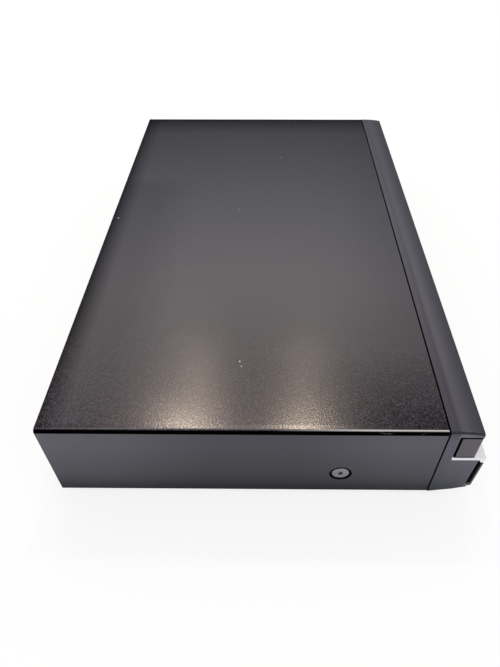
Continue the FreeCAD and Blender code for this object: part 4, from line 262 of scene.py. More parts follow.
# The lamps of the two tall highlights: name, place, what it faces, width, height and watts.
LAMP_COLOUR = (1.0, 0.83, 0.62)
LAMPS = (("lamp_left", (1.00, 0.375, 1.966), (-0.19, 0.0, 0.07), 0.10, 0.10, 5.3),
         ("lamp_left_far", (1.382, 0.344, 1.966), (-0.18, 0.035, 0.07), 0.12, 0.36, 1.0),
         ("lamp_right", (0.98, -0.185, 2.0), (-0.19, 0.0, 0.07), 0.10, 0.20, 6.4),
         ("lamp_right_far", (1.414, -0.195, 2.0), (-0.18, -0.030, 0.07), 0.12, 0.36, 0.8))

# The background's white, and the light that the world and the floor give.
BACKGROUND, WORLD_TINT, WORLD_LEVEL = (1.0, 1.0, 1.0), (0.95, 0.97, 1.0), 0.90
FLOOR_HALF, FLOOR_PAPER, FLOOR_GLOW, FLOOR_GLOW_SHARE = 30.0, (0.92, 0.92, 0.92), 1.02, 0.80

# How bright the floor looks in reflections, with a painted shadow beside the unit: distance from the unit in
# metres, and level.
FLOOR_SEEN = ((0.0, 0.10), (0.006, 0.30), (0.013, 0.60), (0.025, 0.80), (0.038, 1.04), (0.080, 1.20),
              (0.200, 1.10))
FLOOR_TOP, FLOOR_REACH, FLOOR_TONE = 1.25, 0.2, (0.80, 0.80, 0.88)
# The unit's half size, and between which distances from its middle line the floor's painted light grows.
UNIT_HALF_X, UNIT_HALF_Y = 0.215, 0.130
FLOOR_CORNER_Y, FLOOR_CORNER_GAIN = (0.03, 0.10), 1.3

# How bright the studio looks in reflections: elevation in degrees, level and colour.
SKY = ((0, 0.50, (0.90, 0.92, 1.0)), (12, 0.20, (0.90, 0.92, 1.0)), (20, 0.02, (0.90, 0.91, 1.0)),
       (27, 0.55, (0.90, 0.91, 1.0)), (34, 1.33, (0.90, 0.91, 1.0)), (42, 2.40, (1.0, 0.94, 0.91)),
       (48, 1.75, (1.0, 0.93, 0.90)), (57, 0.10, (1.0, 0.96, 0.92)), (67, 2.6, (1.0, 0.94, 0.93)),
       (77, 3.2, (1.0, 0.95, 0.94)), (84, 0.50, (0.95, 0.95, 1.0)))
SKY_TOP = 3.2
DOME_RADIUS, DOME_RINGS, DOME_STEPS = 4.0, 12, 32
# Where the dome darkens, as shares of its radius: behind the camera and in front of the unit.
DARK_X, DARK_LEVEL = (-0.30, 0.10), 0.01
FRONT_Y, FRONT_LEVEL = (-0.55, -0.15), 0.18


def aim(obj, place, forward, up):
    forward = Vector(forward).normalized()
    right = forward.cross(Vector(up)).normalized()
    up = right.cross(forward)
    turn = Matrix((right, up, -forward)).transposed()
    obj.matrix_world = Matrix.Translation(Vector(place)) @ turn.to_4x4()


def add_camera():
    data = bpy.data.cameras.new("camera")
    data.lens, data.sensor_width, data.shift_x = LENS, SENSOR_WIDTH, SHIFT_X
    data.clip_start, data.clip_end = CLIP_START, CLIP_END
    camera = new_object("camera", data)
    aim(camera, CAMERA_PLACE, CAMERA_FORWARD, CAMERA_UP)
    scene.camera = camera


def add_lamp(name, place, target, wide, high, watts):
    data = bpy.data.lights.new(name, "AREA")
    data.shape = "RECTANGLE"
    data.size, data.size_y = wide, high
    data.energy = watts
    data.color = LAMP_COLOUR
    aim(new_object(name, data), place, Vector(target) - Vector(place), (0, 0, 1))


def background_rays(n):
    """1 for the rays that see the background, and 0 for the rays that light the object."""
    rays = n.add("ShaderNodeLightPath").outputs
    seen = n.math("MAXIMUM", rays["Is Camera Ray"], rays["Is Glossy Ray"])
    return n.math("MAXIMUM", seen, rays["Is Transmission Ray"])


def light_world():
    """A white background, and a cooler light that falls on the object."""
    world = bpy.data.worlds.new("studio")
    n = Tree(world, "ShaderNodeOutputWorld")
    seen = n.light("ShaderNodeBackground", BACKGROUND, 1.0)
    lit = n.light("ShaderNodeBackground", WORLD_TINT, WORLD_LEVEL)
    n.link(n.mix_shaders(background_rays(n), lit, seen), n.surface)
    scene.world = world


def floor_in_reflections(n):
    """The floor as glossy surfaces see it: a glow with a painted shadow where the unit stands, and painted
    light towards its corners.
    """
    x, y = (n.math("ABSOLUTE", axis) for axis in n.split(n.place())[:2])
    beyond = n.math("MAXIMUM", n.math("SUBTRACT", x, UNIT_HALF_X), n.math("SUBTRACT", y, UNIT_HALF_Y))
    share = n.spread(beyond, 0.0, FLOOR_REACH)
    colour = n.ramp(share, [(distance / FLOOR_REACH, tuple(level / FLOOR_TOP * c for c in FLOOR_TONE))
                            for distance, level in FLOOR_SEEN])
    strength = n.spread(y, *FLOOR_CORNER_Y, FLOOR_TOP, FLOOR_TOP * FLOOR_CORNER_GAIN)
    return n.light("ShaderNodeEmission", colour, strength)


def add_floor():
    """A pale floor that takes soft shadows, and shows a painted shadow in reflections beside the unit."""
    half = FLOOR_HALF
    floor = new_mesh("floor", [(-half, -half, 0), (half, -half, 0), (half, half, 0), (-half, half, 0)],
                     [(0, 1, 2, 3)])
    material = bpy.data.materials.new("floor_white")
    n = Tree(material)
    paper = n.add("ShaderNodeBsdfDiffuse")
    n.put(FLOOR_PAPER, paper.inputs["Color"])
    glow = n.light("ShaderNodeEmission", BACKGROUND, FLOOR_GLOW)
    seen = n.mix_shaders(n.times(background_rays(n), FLOOR_GLOW_SHARE), paper.outputs[0], glow)
    glossy = n.add("ShaderNodeLightPath").outputs["Is Glossy Ray"]
    n.link(n.mix_shaders(glossy, seen, floor_in_reflections(n)), n.surface)
    floor.data.materials.append(material)


def add_dome():
    """A soft dome that only reflections see, bright at the far side and dark behind the camera."""
    points = []
    for ring in range(DOME_RINGS + 1):
        up = math.pi / 2 * ring / DOME_RINGS
        for step in range(DOME_STEPS):
            turn = 2 * math.pi * step / DOME_STEPS
            points.append((DOME_RADIUS * math.cos(up) * math.cos(turn),
                           DOME_RADIUS * math.cos(up) * math.sin(turn), DOME_RADIUS * math.sin(up)))
    dome = new_mesh("dome", points, ring_faces(DOME_RINGS, DOME_STEPS))
    material = bpy.data.materials.new("dome_light")
    n = Tree(material)
    unit = n.add("ShaderNodeVectorMath")
    unit.operation = "NORMALIZE"
    n.link(n.place(), unit.inputs[0])
    x, y, z = n.split(unit.outputs[0])
    colour = n.ramp(z, [(math.sin(math.radians(angle)), tuple(c * level / SKY_TOP for c in tint))
                        for angle, level, tint in SKY])
    strength = n.times(n.spread(x, *DARK_X, DARK_LEVEL, SKY_TOP), n.spread(y, *FRONT_Y, FRONT_LEVEL, 1.0))
    n.link(n.light("ShaderNodeEmission", colour, strength), n.surface)
    dome.data.materials.append(material)
    dome.visible_camera = False
    dome.visible_diffuse = False
    dome.visible_transmission = False
    dome.visible_shadow = False


def build_studio():
    add_camera()
    light_world()
    add_floor()
    add_dome()
    for lamp in LAMPS:
        add_lamp(*lamp)


# Materials. A named pair of numbers says where a change starts and ends, in metres.

def surface(name, colour, rough, metal=0.0, level=0.5, grain=(1500.0, 0.000012), edge=0.00025, tone=0.1,
            tone_scale=60.0, spread=0.04, stretch=None, marks=None):
    """A material with varied colour and roughness, a fine grain, soft edges and worn, dusty marks."""
    n = Paint(name)
    n.shade("Metallic", metal)
    n.shade("Specular IOR Level", level)
    paint = n.toned(colour, tone, tone_scale, stretch)
    if marks:
        paint = n.mix(n.spread(n.noise(260.0, 4.0, 0.7), 0.66, 0.74, 0.0, 0.5), paint, marks)
    n.shade("Base Color", paint)
    n.roughness(n.noise(tone_scale * 9, 2.0, 0.6, stretch), rough - spread, rough + spread)
    grain_scale, grain_height = grain
    n.bump(n.noise(grain_scale, 2.0, 0.5, stretch), grain_height, edge)
    return n.material


# The cover's colours.
POWDER_DARK, POWDER_LIGHT = (0.0060, 0.0056, 0.0075), (0.0074, 0.0068, 0.0092)
REAR_TINT, FRONT_TINT = (0.93, 0.89, 1.0), (0.87, 0.86, 1.0)
SPECK, FINE_DUST, GRAIN = (0.62, 0.60, 0.56), (0.40, 0.38, 0.36), (0.084, 0.071, 0.090)
# The pale line is a painted highlight along the top's edges; the near black is a painted dark reflection on
# the folds and painted shade round the side screw.
PAINTED_HIGHLIGHT, WORN, PAINTED_DARK = (0.60, 0.58, 0.57), (0.30, 0.29, 0.29), (0.0005, 0.0005, 0.0005)

# Where the cover's look changes. Those in x of a bend, fold, line or roll hold for both sides.
TOP_Z, TINT_Y, GRAIN_X = (0.0715, 0.0719), (-0.105, -0.045), (-0.205, -0.120)
BEND_X, BEND_Y, BEND_Z = (0.2128, 0.2136), (-0.100, -0.060), (0.0698, 0.0706)
LINE_X, LINE_Y = (0.2126, 0.2129), (-0.065, -0.010)
FOLD_X, FOLD_Z = (0.21375, 0.21395), (0.0690, 0.0694)
SIDE_SCREW_Y, SIDE_SCREW_Z, SCREW_RING = -0.0542, 0.0269, (0.0071, 0.0074)
NEAR_X, NEAR_Y, NEAR_SHEEN, SHEEN = (-0.205, -0.150), (-0.090, 0.060), 0.10, 0.46
# The rims, the part towards the rear and the corner take reflection away from the top as painted shade.
REAR_RIM_Y, FAR_RIM_X, REAR_SHADE_Y, REAR_SHADE_X = (0.1125, 0.1285), (0.176, 0.2137), (0.060, 0.095), (0.0, 0.08)
CORNER_X, CORNER_Y = (-0.212, -0.193), (-0.085, -0.035)
ROLL_X, ROLL_HEIGHT, GRAIN_HEIGHT = (0.2100, 0.2137), 0.00016, 0.00005

# Dust on the top: x, y and radius of each speck.
SPECKS = ((-0.1600, 0.0110, 0.00095), (-0.1643, 0.0094, 0.00080), (0.0083, 0.1238, 0.00090),
          (0.1210, -0.0196, 0.00080), (0.0229, 0.0184, 0.00070))


def dusty(n, paint, x, y, fine, on_top):
    """The paint with ragged specks at their places and fine dust all over the top."""
    for speck_x, speck_y, radius in SPECKS:
        far = n.distance(n.math("SUBTRACT", x, speck_x), n.math("SUBTRACT", y, speck_y))
        ragged = n.math("ADD", far, n.varied(fine, -0.3 * radius, 0.3 * radius))
        paint = n.mix(n.times(n.spread(ragged, 0.3 * radius, 0.8 * radius, 0.85, 0.0), on_top), paint, SPECK)
    dust = n.spread(n.noise(420.0, 3.0, 0.7), 0.765, 0.80, 0.0, 0.5)
    return n.mix(n.times(dust, on_top), paint, FINE_DUST)


def painted_dark_places(n, side, y, z):
    """1 in the painted dark reflection along the side folds, and in the painted shade round the side screw.
    """
    fold = n.times(n.spread(side, *FOLD_X), n.spread(z, *FOLD_Z))
    around = n.distance(n.math("SUBTRACT", z, SIDE_SCREW_Z), n.math("SUBTRACT", y, SIDE_SCREW_Y))
    return n.math("MAXIMUM", fold, n.spread(around, *SCREW_RING, 1.0, 0.0))


def worn_bend(n, side, y, z):
    """Worn chips along the front part of the side bends."""
    bend = n.times(n.spread(side, *BEND_X), n.spread(z, *BEND_Z), n.spread(y, *BEND_Y, 1.0, 0.0))
    return n.times(n.spread(n.noise(330.0, 4.0, 0.75, (0.3, 0.25, 1.0)), 0.60, 0.66), bend)


def gloss_with_painted_shade(n, x, y, on_top, black):
    """1 where the paint reflects, with painted shade: less along the rear and far edges and towards the rear
    of the near half, and none in the painted dark places.
    """
    rim_shade = n.times(n.spread(y, *REAR_RIM_Y, 1.0, 0.08), n.spread(x, *FAR_RIM_X, 1.0, 0.06))
    rear_shade = n.math("MAXIMUM", n.spread(y, *REAR_SHADE_Y, 1.0, 0.76), n.spread(x, *REAR_SHADE_X))
    return n.times(n.math("MAXIMUM", n.times(rim_shade, rear_shade), n.rest(on_top)), n.rest(black))


def cover_sheen(n, x, y, on_top):
    """The strength of the mirrored light, weaker near the front of the near edge."""
    inner = n.math("MAXIMUM", n.spread(x, *NEAR_X), n.rest(on_top))
    near = n.times(n.rest(inner), n.spread(y, *NEAR_Y, NEAR_SHEEN, SHEEN))
    return n.math("ADD", near, n.times(inner, SHEEN))


def cover_paint(name):
    """Satin black powder paint: grain, dust and worn bends, with a painted dark reflection and a painted
    highlight line at its folds, painted shade round the side screw, and reflection weakened as painted shade
    along some edges.
    """
    n = Paint(name)
    x, y, z = n.axes()
    side = n.math("ABSOLUTE", x)
    on_top = n.spread(z, *TOP_Z)
    fine = n.noise(920.0, 1.0)
    clear_cells, pale_cells = n.cells(2200.0)
    black = painted_dark_places(n, side, y, z)
    paint = n.mix(n.spread(n.noise(14.0), 0.35, 0.65), POWDER_DARK, POWDER_LIGHT)
    paint = dusty(n, paint, x, y, fine, on_top)
    coarse = n.spread(x, *GRAIN_X, 1.0, 0.05)
    paint = n.mix(n.times(n.spread(pale_cells, 0.58, 1.0), coarse, on_top), paint, GRAIN)
    # A pale line along the top's edges at the bends, strongest at the front: a painted highlight.
    line = n.times(n.spread(side, *LINE_X), on_top, n.spread(y, *LINE_Y, 0.85, 0.04))
    paint = n.mix(line, paint, PAINTED_HIGHLIGHT)
    # The near black: a painted dark reflection on the folds and painted shade round the side screw.
    paint = n.mix(black, paint, PAINTED_DARK)
    n.shade("Base Color", n.mix(n.times(worn_bend(n, side, y, z), 0.8), paint, WORN))
    gloss_and_shade = gloss_with_painted_shade(n, x, y, on_top, black)
    n.shade("IOR", 1.46)
    n.shade("Specular Tint", n.mix(n.spread(y, *TINT_Y, 1.0, 0.0), REAR_TINT, FRONT_TINT))
    n.shade("Specular IOR Level", n.times(gloss_and_shade, cover_sheen(n, x, y, on_top)))
    n.roughness(n.noise(5.0), 0.225, 0.245)
    # Less coat towards the near front corner of the top: painted shade.
    corner_shade = n.times(n.spread(x, *CORNER_X, 1.0, 0.0), n.spread(y, *CORNER_Y, 0.55, 0.0))
    coat = n.times(gloss_and_shade, n.spread(clear_cells, 0.0, 1.0, 0.26, 0.52), n.rest(n.times(corner_shade, on_top)))
    n.shade("Coat Weight", coat)
    n.shade("Coat Roughness", 0.155)
    rolled = n.raised(n.times(n.spread(side, *ROLL_X, 1.0, 0.0), on_top), ROLL_HEIGHT)
    n.shade("Normal", rolled)
    n.shade("Coat Normal", n.raised(fine, GRAIN_HEIGHT, rolled))
    return n.material


# The front: its seam beside the cover, its top, its bowed part and the ends of the smoked band.
# SHADE is near black painted shade, in the seam beside the cover and in the grooves at the smoked band's
# ends.
SHADE = (0.001, 0.001, 0.001)
SEAM_Y, MOULDING_TOP_Z = (-0.11430, -0.11405), (0.0640, 0.0660)
STRIP_Y, BOW_Y, BOW_X = (-0.1212, -0.1190), (-0.1335, -0.1250), (-0.21, 0.04)
MOULDING_SHEEN, STRIP_SHEEN = 0.68, (0.86, 1.0)
FASCIA_REAR_Y, FASCIA_END_X = (-0.12225, -0.12205), (0.2138, 0.2142)
FASCIA_TOP_Z, FASCIA_FOOT_Z = (0.06605, 0.06625), (0.04745, 0.04725)


def front_moulding(name):
    """Satin moulded plastic, with painted shade in the seam beside the cover, a painted lighter top, and
    painted sheen: weaker by the seam, stronger in front of it and duller where its top bows down.
    """
    n = Paint(name)
    x, y, z = n.axes()
    seam = n.spread(y, *SEAM_Y)
    top = n.spread(z, *MOULDING_TOP_Z)
    paint = n.toned((0.0270, 0.0262, 0.0372), 0.06, 20.0)
    # Painted light: the top is mixed a little towards a pale blue grey.
    paint = n.mix(n.times(top, 0.12), paint, (0.100, 0.105, 0.125))
    n.shade("Base Color", n.mix(seam, paint, SHADE))
    # Painted sheen: the reflection is weaker in the strip by the seam, most towards its near end, stronger
    # in front of that strip and weaker on the bow.
    flat = n.math("SUBTRACT", MOULDING_SHEEN, n.times(top, n.spread(x, *BOW_X, 0.32, 0.0)))
    more = n.math("SUBTRACT", n.spread(z, *MOULDING_TOP_Z, *STRIP_SHEEN), flat)
    strip = n.math("ADD", flat, n.times(more, n.spread(y, *STRIP_Y, 1.0, 0.0)))
    sheen = n.math("SUBTRACT", strip, n.times(n.spread(y, *BOW_Y, 0.42, 0.0), top))
    n.shade("Specular IOR Level", n.times(n.rest(seam), sheen))
    n.shade("Specular Tint", (0.91, 0.905, 1.0))
    n.roughness(n.noise(30.0), 0.30, 0.34)
    n.bump(n.noise(1500.0), 0.000012, 0.0003)
    return n.material


def fascia_band(name):
    """Smoked glossy plastic, with painted shade, near black and without reflection, in the groove round its
    ends at the two sides.
    """
    n = Paint(name)
    x, y, z = n.axes()
    rim = n.math("MAXIMUM", n.spread(y, *FASCIA_REAR_Y), n.spread(z, *FASCIA_TOP_Z))
    rim = n.math("MAXIMUM", rim, n.spread(z, *FASCIA_FOOT_Z))
    rim = n.times(rim, n.spread(n.math("ABSOLUTE", x), *FASCIA_END_X))
    n.shade("Base Color", n.mix(rim, n.toned((0.041, 0.0345, 0.0375), 0.05, 60.0), SHADE))
    n.shade("Specular IOR Level", n.times(n.rest(rim), 0.5))
    n.roughness(n.noise(540.0, 2.0, 0.6), 0.22, 0.30)
    n.bump(n.noise(1500.0), 0.000006, 0.00025)
    return n.material


def brushed_sheet(name, colour, rough, spangle):
    """Plated steel sheet with the soft patches of zinc and fine rolling lines along x."""
    n = Paint(name)
    n.shade("Metallic", 1.0)
    n.shade("Base Color", n.mix(n.cells(190.0)[0], *darker_and_lighter(colour, spangle)))
    lines = n.noise(300.0, 3.0, 0.6, (0.05, 1.0, 6.0))
    n.roughness(lines, rough - 0.06, rough + 0.08)
    n.bump(lines, 0.000006, 0.0002)
    return n.material


def sunk_screw(name):
    """A dark plated screw: worn grey on its face, and painted shade, black and without reflection, on its
    side where it goes down into its dimple.
    """
    n = Paint(name)
    face = n.spread(n.math("ABSOLUTE", n.axes()[0]), *SCREW_FACE_X)
    grey = n.toned((0.30, 0.295, 0.30), 0.25, 600.0)
    n.shade("Base Color", n.mix(face, (0.002, 0.002, 0.002), grey))
    n.shade("Metallic", n.times(face, 0.75))
    n.shade("Specular IOR Level", n.times(face, 0.5))
    n.roughness(n.noise(700.0, 3.0), 0.30, 0.42)
    n.bump(n.noise(900.0, 3.0, 0.6), 0.00003, 0.0002)
    return n.material


def folded(n, value, first, pitch):
    """The distance from the nearest of several axes that lie at a pitch."""
    steps = n.math("DIVIDE", n.math("SUBTRACT", value, first), pitch)
    return n.times(n.math("SUBTRACT", steps, n.math("ROUND", steps)), pitch)


def striped(n, value, first, pitch, colours):
    """One colour for each step of the value."""
    paint = colours[0]
    for step, colour in enumerate(colours[1:], start=1):
        edge = first + pitch * (step - 0.5)
        paint = n.mix(n.spread(value, edge - 0.00001, edge + 0.00001), paint, colour)
    return paint


def part_metal_part_plastic(n, metal_share, plastic, rough=0.35):
    """Plated metal where the share is 1 and plastic where it is 0."""
    n.shade("Base Color", n.mix(metal_share, plastic, NICKEL))
    n.shade("Metallic", metal_share)
    n.roughness(n.noise(700.0, 3.0, 0.6), rough - 0.08, rough + 0.06)
    n.bump(n.noise(1400.0), 0.000008, 0.0002)


def round_sockets(name, first_x, pitch, low_z, row_pitch, rows, back, outward):
    """Round sockets: a plated barrel round a core in the colour of its row and column."""
    n = Paint(name)
    x, y, z = n.axes()
    far = n.distance(folded(n, x, first_x, pitch), folded(n, z, low_z, row_pitch))
    low = striped(n, x, first_x, pitch, rows[0])
    high = striped(n, x, first_x, pitch, rows[-1])
    middle = low_z + row_pitch / 2
    colour = n.mix(n.spread(z, middle - 0.0001, middle + 0.0001), low, high)
    reach = n.spread(n.times(n.math("SUBTRACT", y, back), outward), 0.0, 0.0001)
    metal = n.times(n.spread(far, *BARREL_INSIDE), n.spread(far, *BARREL_OUTSIDE, 1.0, 0.0), reach)
    part_metal_part_plastic(n, metal, n.mix(reach, BLACK, colour))
    return n.material


def aerial_can(name):
    """The tuner's tin can, its plated barrels and the white core at each barrel's end."""
    n = Paint(name)
    x, y, z = n.axes()
    far = n.distance(n.math("SUBTRACT", x, AERIAL_X), folded(n, z, AERIAL_Z, AERIAL_PITCH))
    core = n.times(n.spread(far, *CORE_EDGE, 1.0, 0.0), n.spread(y, *CORE_END_Y), n.spread(far, *CORE_HOLE))
    n.shade("Base Color", n.mix(core, n.toned((0.62, 0.61, 0.58), 0.1, 200.0), (0.75, 0.73, 0.68)))
    n.shade("Metallic", n.rest(core))
    n.roughness(n.noise(200.0), 0.24, 0.32)
    thread = n.add("ShaderNodeTexWave")
    thread.bands_direction = "Y"
    thread.inputs["Scale"].default_value = 320.0
    thread.inputs["Distortion"].default_value = 0.0
    n.link(n.where, thread.inputs["Vector"])
    outside = n.times(n.spread(y, *THREAD_Y), n.spread(far, *THREAD_EDGE))
    n.bump(n.times(thread.outputs["Fac"], outside), 0.00025, 0.0002)
    return n.material


def inlet_socket(name):
    """The black mains inlet with its two plated pins."""
    n = Paint(name)
    x, y, z = n.axes()
    side = n.math("SUBTRACT", n.math("ABSOLUTE", n.math("SUBTRACT", x, INLET_X)), INLET_PIN)
    far = n.distance(side, n.math("SUBTRACT", z, INLET_Z))
    metal = n.times(n.spread(far, *PIN_EDGE, 1.0, 0.0), n.spread(y, *PIN_Y))
    part_metal_part_plastic(n, metal, (0.022, 0.022, 0.023), 0.4)
    return n.material


def circuit_board(name, low, high, flip=False):
    """A green board between two heights, with dark parts and pale solder beyond them."""
    n = Paint(name)
    z = n.axes()[2]
    green = n.toned((0.016, 0.095, 0.034), 0.30, 180.0)
    tracks = n.spread(n.noise(700.0, 2.0, 0.6, (1.0, 0.25, 1.0)), 0.55, 0.60, 0.0, 0.45)
    paint = n.mix(tracks, green, (0.030, 0.16, 0.06))
    solder = n.spread(n.noise(520.0, 1.0), 0.70, 0.72)
    paint = n.mix(n.times(solder, 0.9), paint, (0.42, 0.41, 0.38))
    beyond = n.spread(z, high + 0.0001, high + 0.0002)
    under = n.spread(z, low - 0.0002, low - 0.0001, 1.0, 0.0)
    parts, pins = (under, beyond) if flip else (beyond, under)
    paint = n.mix(parts, paint, n.toned((0.022, 0.022, 0.024), 0.3, 90.0))
    n.shade("Base Color", n.mix(pins, paint, (0.50, 0.49, 0.46)))
    n.shade("Metallic", n.times(pins, 0.9))
    n.roughness(n.noise(300.0), 0.34, 0.46)
    n.bump(n.noise(600.0), 0.00003, 0.0002)
    return n.material


def tinted_window(name):
    """A smoked window that shows the display tube behind it and lets light fall on it."""
    n = Paint(name)
    n.shade("IOR", 1.49)
    n.shade("Transmission Weight", 0.95)
    n.shade("Base Color", n.toned((0.42, 0.37, 0.37), 0.04, 30.0))
    n.roughness(n.noise(60.0), 0.03, 0.06)
    n.bump(n.noise(80.0), 0.000003, 0.0002)
    clear = n.add("ShaderNodeBsdfTransparent")
    n.put((0.60, 0.56, 0.56), clear.inputs["Color"])
    shadow = n.add("ShaderNodeLightPath").outputs["Is Shadow Ray"]
    n.link(n.mix_shaders(shadow, n.shader.outputs[0], clear.outputs[0]), n.surface)
    return n.material


YELLOW, WHITE, RED = (0.72, 0.48, 0.02), (0.72, 0.71, 0.68), (0.50, 0.02, 0.02)
GREEN, BLUE, BLACK = (0.03, 0.30, 0.05), (0.02, 0.08, 0.40), (0.02, 0.02, 0.021)
NICKEL = (0.66, 0.64, 0.60)

# Places and radii of the side screws' face, the sockets, the inlet's pins and the boards.
SCREW_FACE_X = (0.21460, 0.21476)
JACKS_BACK, FIRST_JACK_X, JACK_PITCH, JACK_LOW_Z, JACK_ROW = 0.1280, -0.096, 0.015, 0.0265, 0.016
FRONT_JACKS_BACK, FRONT_JACK_X, FRONT_JACK_PITCH, FRONT_JACK_Z = -0.1296, 0.160, 0.016, 0.0275
SINGLE_ROW = 0.1
BARREL_INSIDE, BARREL_OUTSIDE = (0.00345, 0.00355), (0.00425, 0.00432)
AERIAL_X, AERIAL_Z, AERIAL_PITCH = -0.190, 0.0225, 0.019
CORE_EDGE, CORE_HOLE, CORE_END_Y = (0.0033, 0.0034), (0.0013, 0.00135), (0.14135, 0.14145)
THREAD_EDGE, THREAD_Y = (0.0046, 0.0047), (0.1295, 0.1297)
INLET_X, INLET_Z, INLET_PIN = 0.085, 0.0365, 0.0043
PIN_EDGE, PIN_Y = (0.00125, 0.0013), (0.1188, 0.1189)
BOARD_Z, DISK_BOARD_Z = (0.0155, 0.0171), (0.0174, 0.0190)

ALONG_X, ALONG_Z = (0.1, 1.0, 1.0), (1.0, 1.0, 0.1)
SURFACES = {
    "foot_plastic": dict(colour=(0.020, 0.020, 0.021), rough=0.45, marks=(0.10, 0.10, 0.10)),
    "foot_rubber": dict(colour=(0.055, 0.055, 0.055), rough=0.85, level=0.3, grain=(900.0, 0.00003),
                        marks=(0.16, 0.15, 0.14)),
    "plain_screw": dict(colour=(0.55, 0.55, 0.52), rough=0.3, metal=1.0, tone=0.12, tone_scale=300.0),
    "ledge_metal": dict(colour=(0.85, 0.84, 0.87), rough=0.34, metal=0.35, grain=(1500.0, 0.000006),
                        tone=0.04, stretch=ALONG_X),
    "flap_plastic": dict(colour=(0.030, 0.0285, 0.0340), rough=0.36),
    "key_plastic": dict(colour=(0.30, 0.30, 0.31), rough=0.32, metal=0.6, grain=(1500.0, 0.000006),
                        tone=0.05),
    "board_green": dict(colour=(0.02, 0.11, 0.04), rough=0.42, grain=(420.0, 0.00006), tone=0.35,
                        tone_scale=160.0, marks=(0.45, 0.40, 0.22)),
    "part_black": dict(colour=(0.026, 0.026, 0.028), rough=0.42),
    "tube_glass": dict(colour=(0.018, 0.040, 0.040), rough=0.12, grain=(300.0, 0.000003)),
    "tray_plastic": dict(colour=(0.030, 0.030, 0.032), rough=0.42, grain=(1700.0, 0.000015)),
    "loader_plastic": dict(colour=(0.026, 0.026, 0.028), rough=0.5, grain=(1500.0, 0.00002)),
    "gear_plastic": dict(colour=(0.70, 0.68, 0.60), rough=0.38, tone=0.04),
    "belt_rubber": dict(colour=(0.022, 0.022, 0.022), rough=0.7),
    "motor_steel": dict(colour=(0.58, 0.58, 0.57), rough=0.3, metal=1.0, stretch=ALONG_Z),
    "rod_steel": dict(colour=(0.70, 0.70, 0.71), rough=0.14, metal=1.0, grain=(1500.0, 0.000002)),
    "cast_alloy": dict(colour=(0.48, 0.48, 0.48), rough=0.42, metal=1.0, grain=(1300.0, 0.00004)),
    "disk_mirror": dict(colour=(0.82, 0.82, 0.84), rough=0.06, metal=1.0, grain=(100.0, 0.000001),
                        spread=0.02, tone=0.02),
    "copper_core": dict(colour=(0.36, 0.20, 0.08), rough=0.45, metal=0.4, tone=0.25, tone_scale=200.0),
    "capacitor": dict(colour=(0.03, 0.035, 0.075), rough=0.32),
    "sink_alloy": dict(colour=(0.40, 0.40, 0.41), rough=0.42, metal=1.0, stretch=ALONG_Z),
    "ribbon_grey": dict(colour=(0.42, 0.42, 0.44), rough=0.5, stretch=(9.0, 0.2, 0.2), tone=0.3,
                        tone_scale=120.0),
}
MATERIALS = {name: surface(name, **look) for name, look in SURFACES.items()}
MATERIALS.update({
    "black_cover": cover_paint("black_cover"),
    "zinc_sheet": brushed_sheet("zinc_sheet", (0.58, 0.59, 0.58), 0.34, 0.12),
    "rear_sheet": brushed_sheet("rear_sheet", (0.52, 0.53, 0.53), 0.40, 0.05),
    "black_screw": sunk_screw("black_screw"),
    "front_plastic": front_moulding("front_plastic"),
    "fascia_plastic": fascia_band("fascia_plastic"),
    "window_tint": tinted_window("window_tint"),
    "tin_can": aerial_can("tin_can"),
})

NODE_MATERIALS = {
    "av_jacks": round_sockets("rear_jacks", FIRST_JACK_X, JACK_PITCH, JACK_LOW_Z, JACK_ROW,
                              ((YELLOW, WHITE, RED, WHITE, RED), (GREEN, BLUE, RED, WHITE, RED)),
                              JACKS_BACK, 1.0),
    "front_jacks": round_sockets("front_round_jacks", FRONT_JACK_X, FRONT_JACK_PITCH, FRONT_JACK_Z,
                                 SINGLE_ROW, ((YELLOW, WHITE, RED),), FRONT_JACKS_BACK, -1.0),
    "mains_inlet": inlet_socket("mains_inlet_socket"),
    "main_board": circuit_board("main_circuit_board", *BOARD_Z),
    "power_board": circuit_board("power_circuit_board", *BOARD_Z),
    "hdd_board": circuit_board("disk_circuit_board", *DISK_BOARD_Z, True),
}

SIGN_GRAIN = (2500.0, 0.000002)
SIGN_WHITE = surface("sign_white", (0.70, 0.70, 0.70), 0.5, edge=0, grain=SIGN_GRAIN, tone=0.03)
SIGN_RED = surface("sign_red", (0.45, 0.03, 0.03), 0.45, edge=0, grain=SIGN_GRAIN, tone=0.05)
SEGMENTS = surface("segments", (0.34, 0.50, 0.46), 0.4, edge=0, grain=SIGN_GRAIN, tone=0.05)
# A near black ring under each side head is painted shade in its dimple.
SHADE_RING = surface("shade_ring_black", (0.004, 0.004, 0.004), 0.8, level=0.15, edge=0)


def dress_nodes():
    """Give each node of the frame a material of its own, or that of its slot in the record."""
    slots = {part["node"]: part["material_slot"] for part in frame["record"]["subparts"]}
    for name, obj in NODES.items():
        obj.data.materials.clear()
        obj.data.materials.append(NODE_MATERIALS.get(name) or MATERIALS[slots[name]])


# Pieces that add the small forms

def joined_mesh(name, parts):
    """One object from several (points, faces)."""
    points, faces = [], []
    for more_points, more_faces in parts:
        start = len(points)
        points += [tuple(p) for p in more_points]
        faces += [tuple(start + i for i in face) for face in more_faces]
    return new_mesh(name, points, faces)


def directions(axis):
    """The axis and two directions across it, each 1 long."""
    along = Vector(axis).normalized()
    across = along.orthogonal().normalized()
    return along, across, along.cross(across)


def turned(profile, place, axis, steps):
    """The open wall of a body turned round an axis, from its (radius, height) pairs."""
    along, across, other = directions(axis)
    points = []
    for radius, height in profile:
        for step in range(steps):
            angle = 2 * math.pi * step / steps
            outward = across * math.cos(angle) + other * math.sin(angle)
            points.append(Vector(place) + along * height + outward * radius)
    return points, ring_faces(len(profile) - 1, steps)


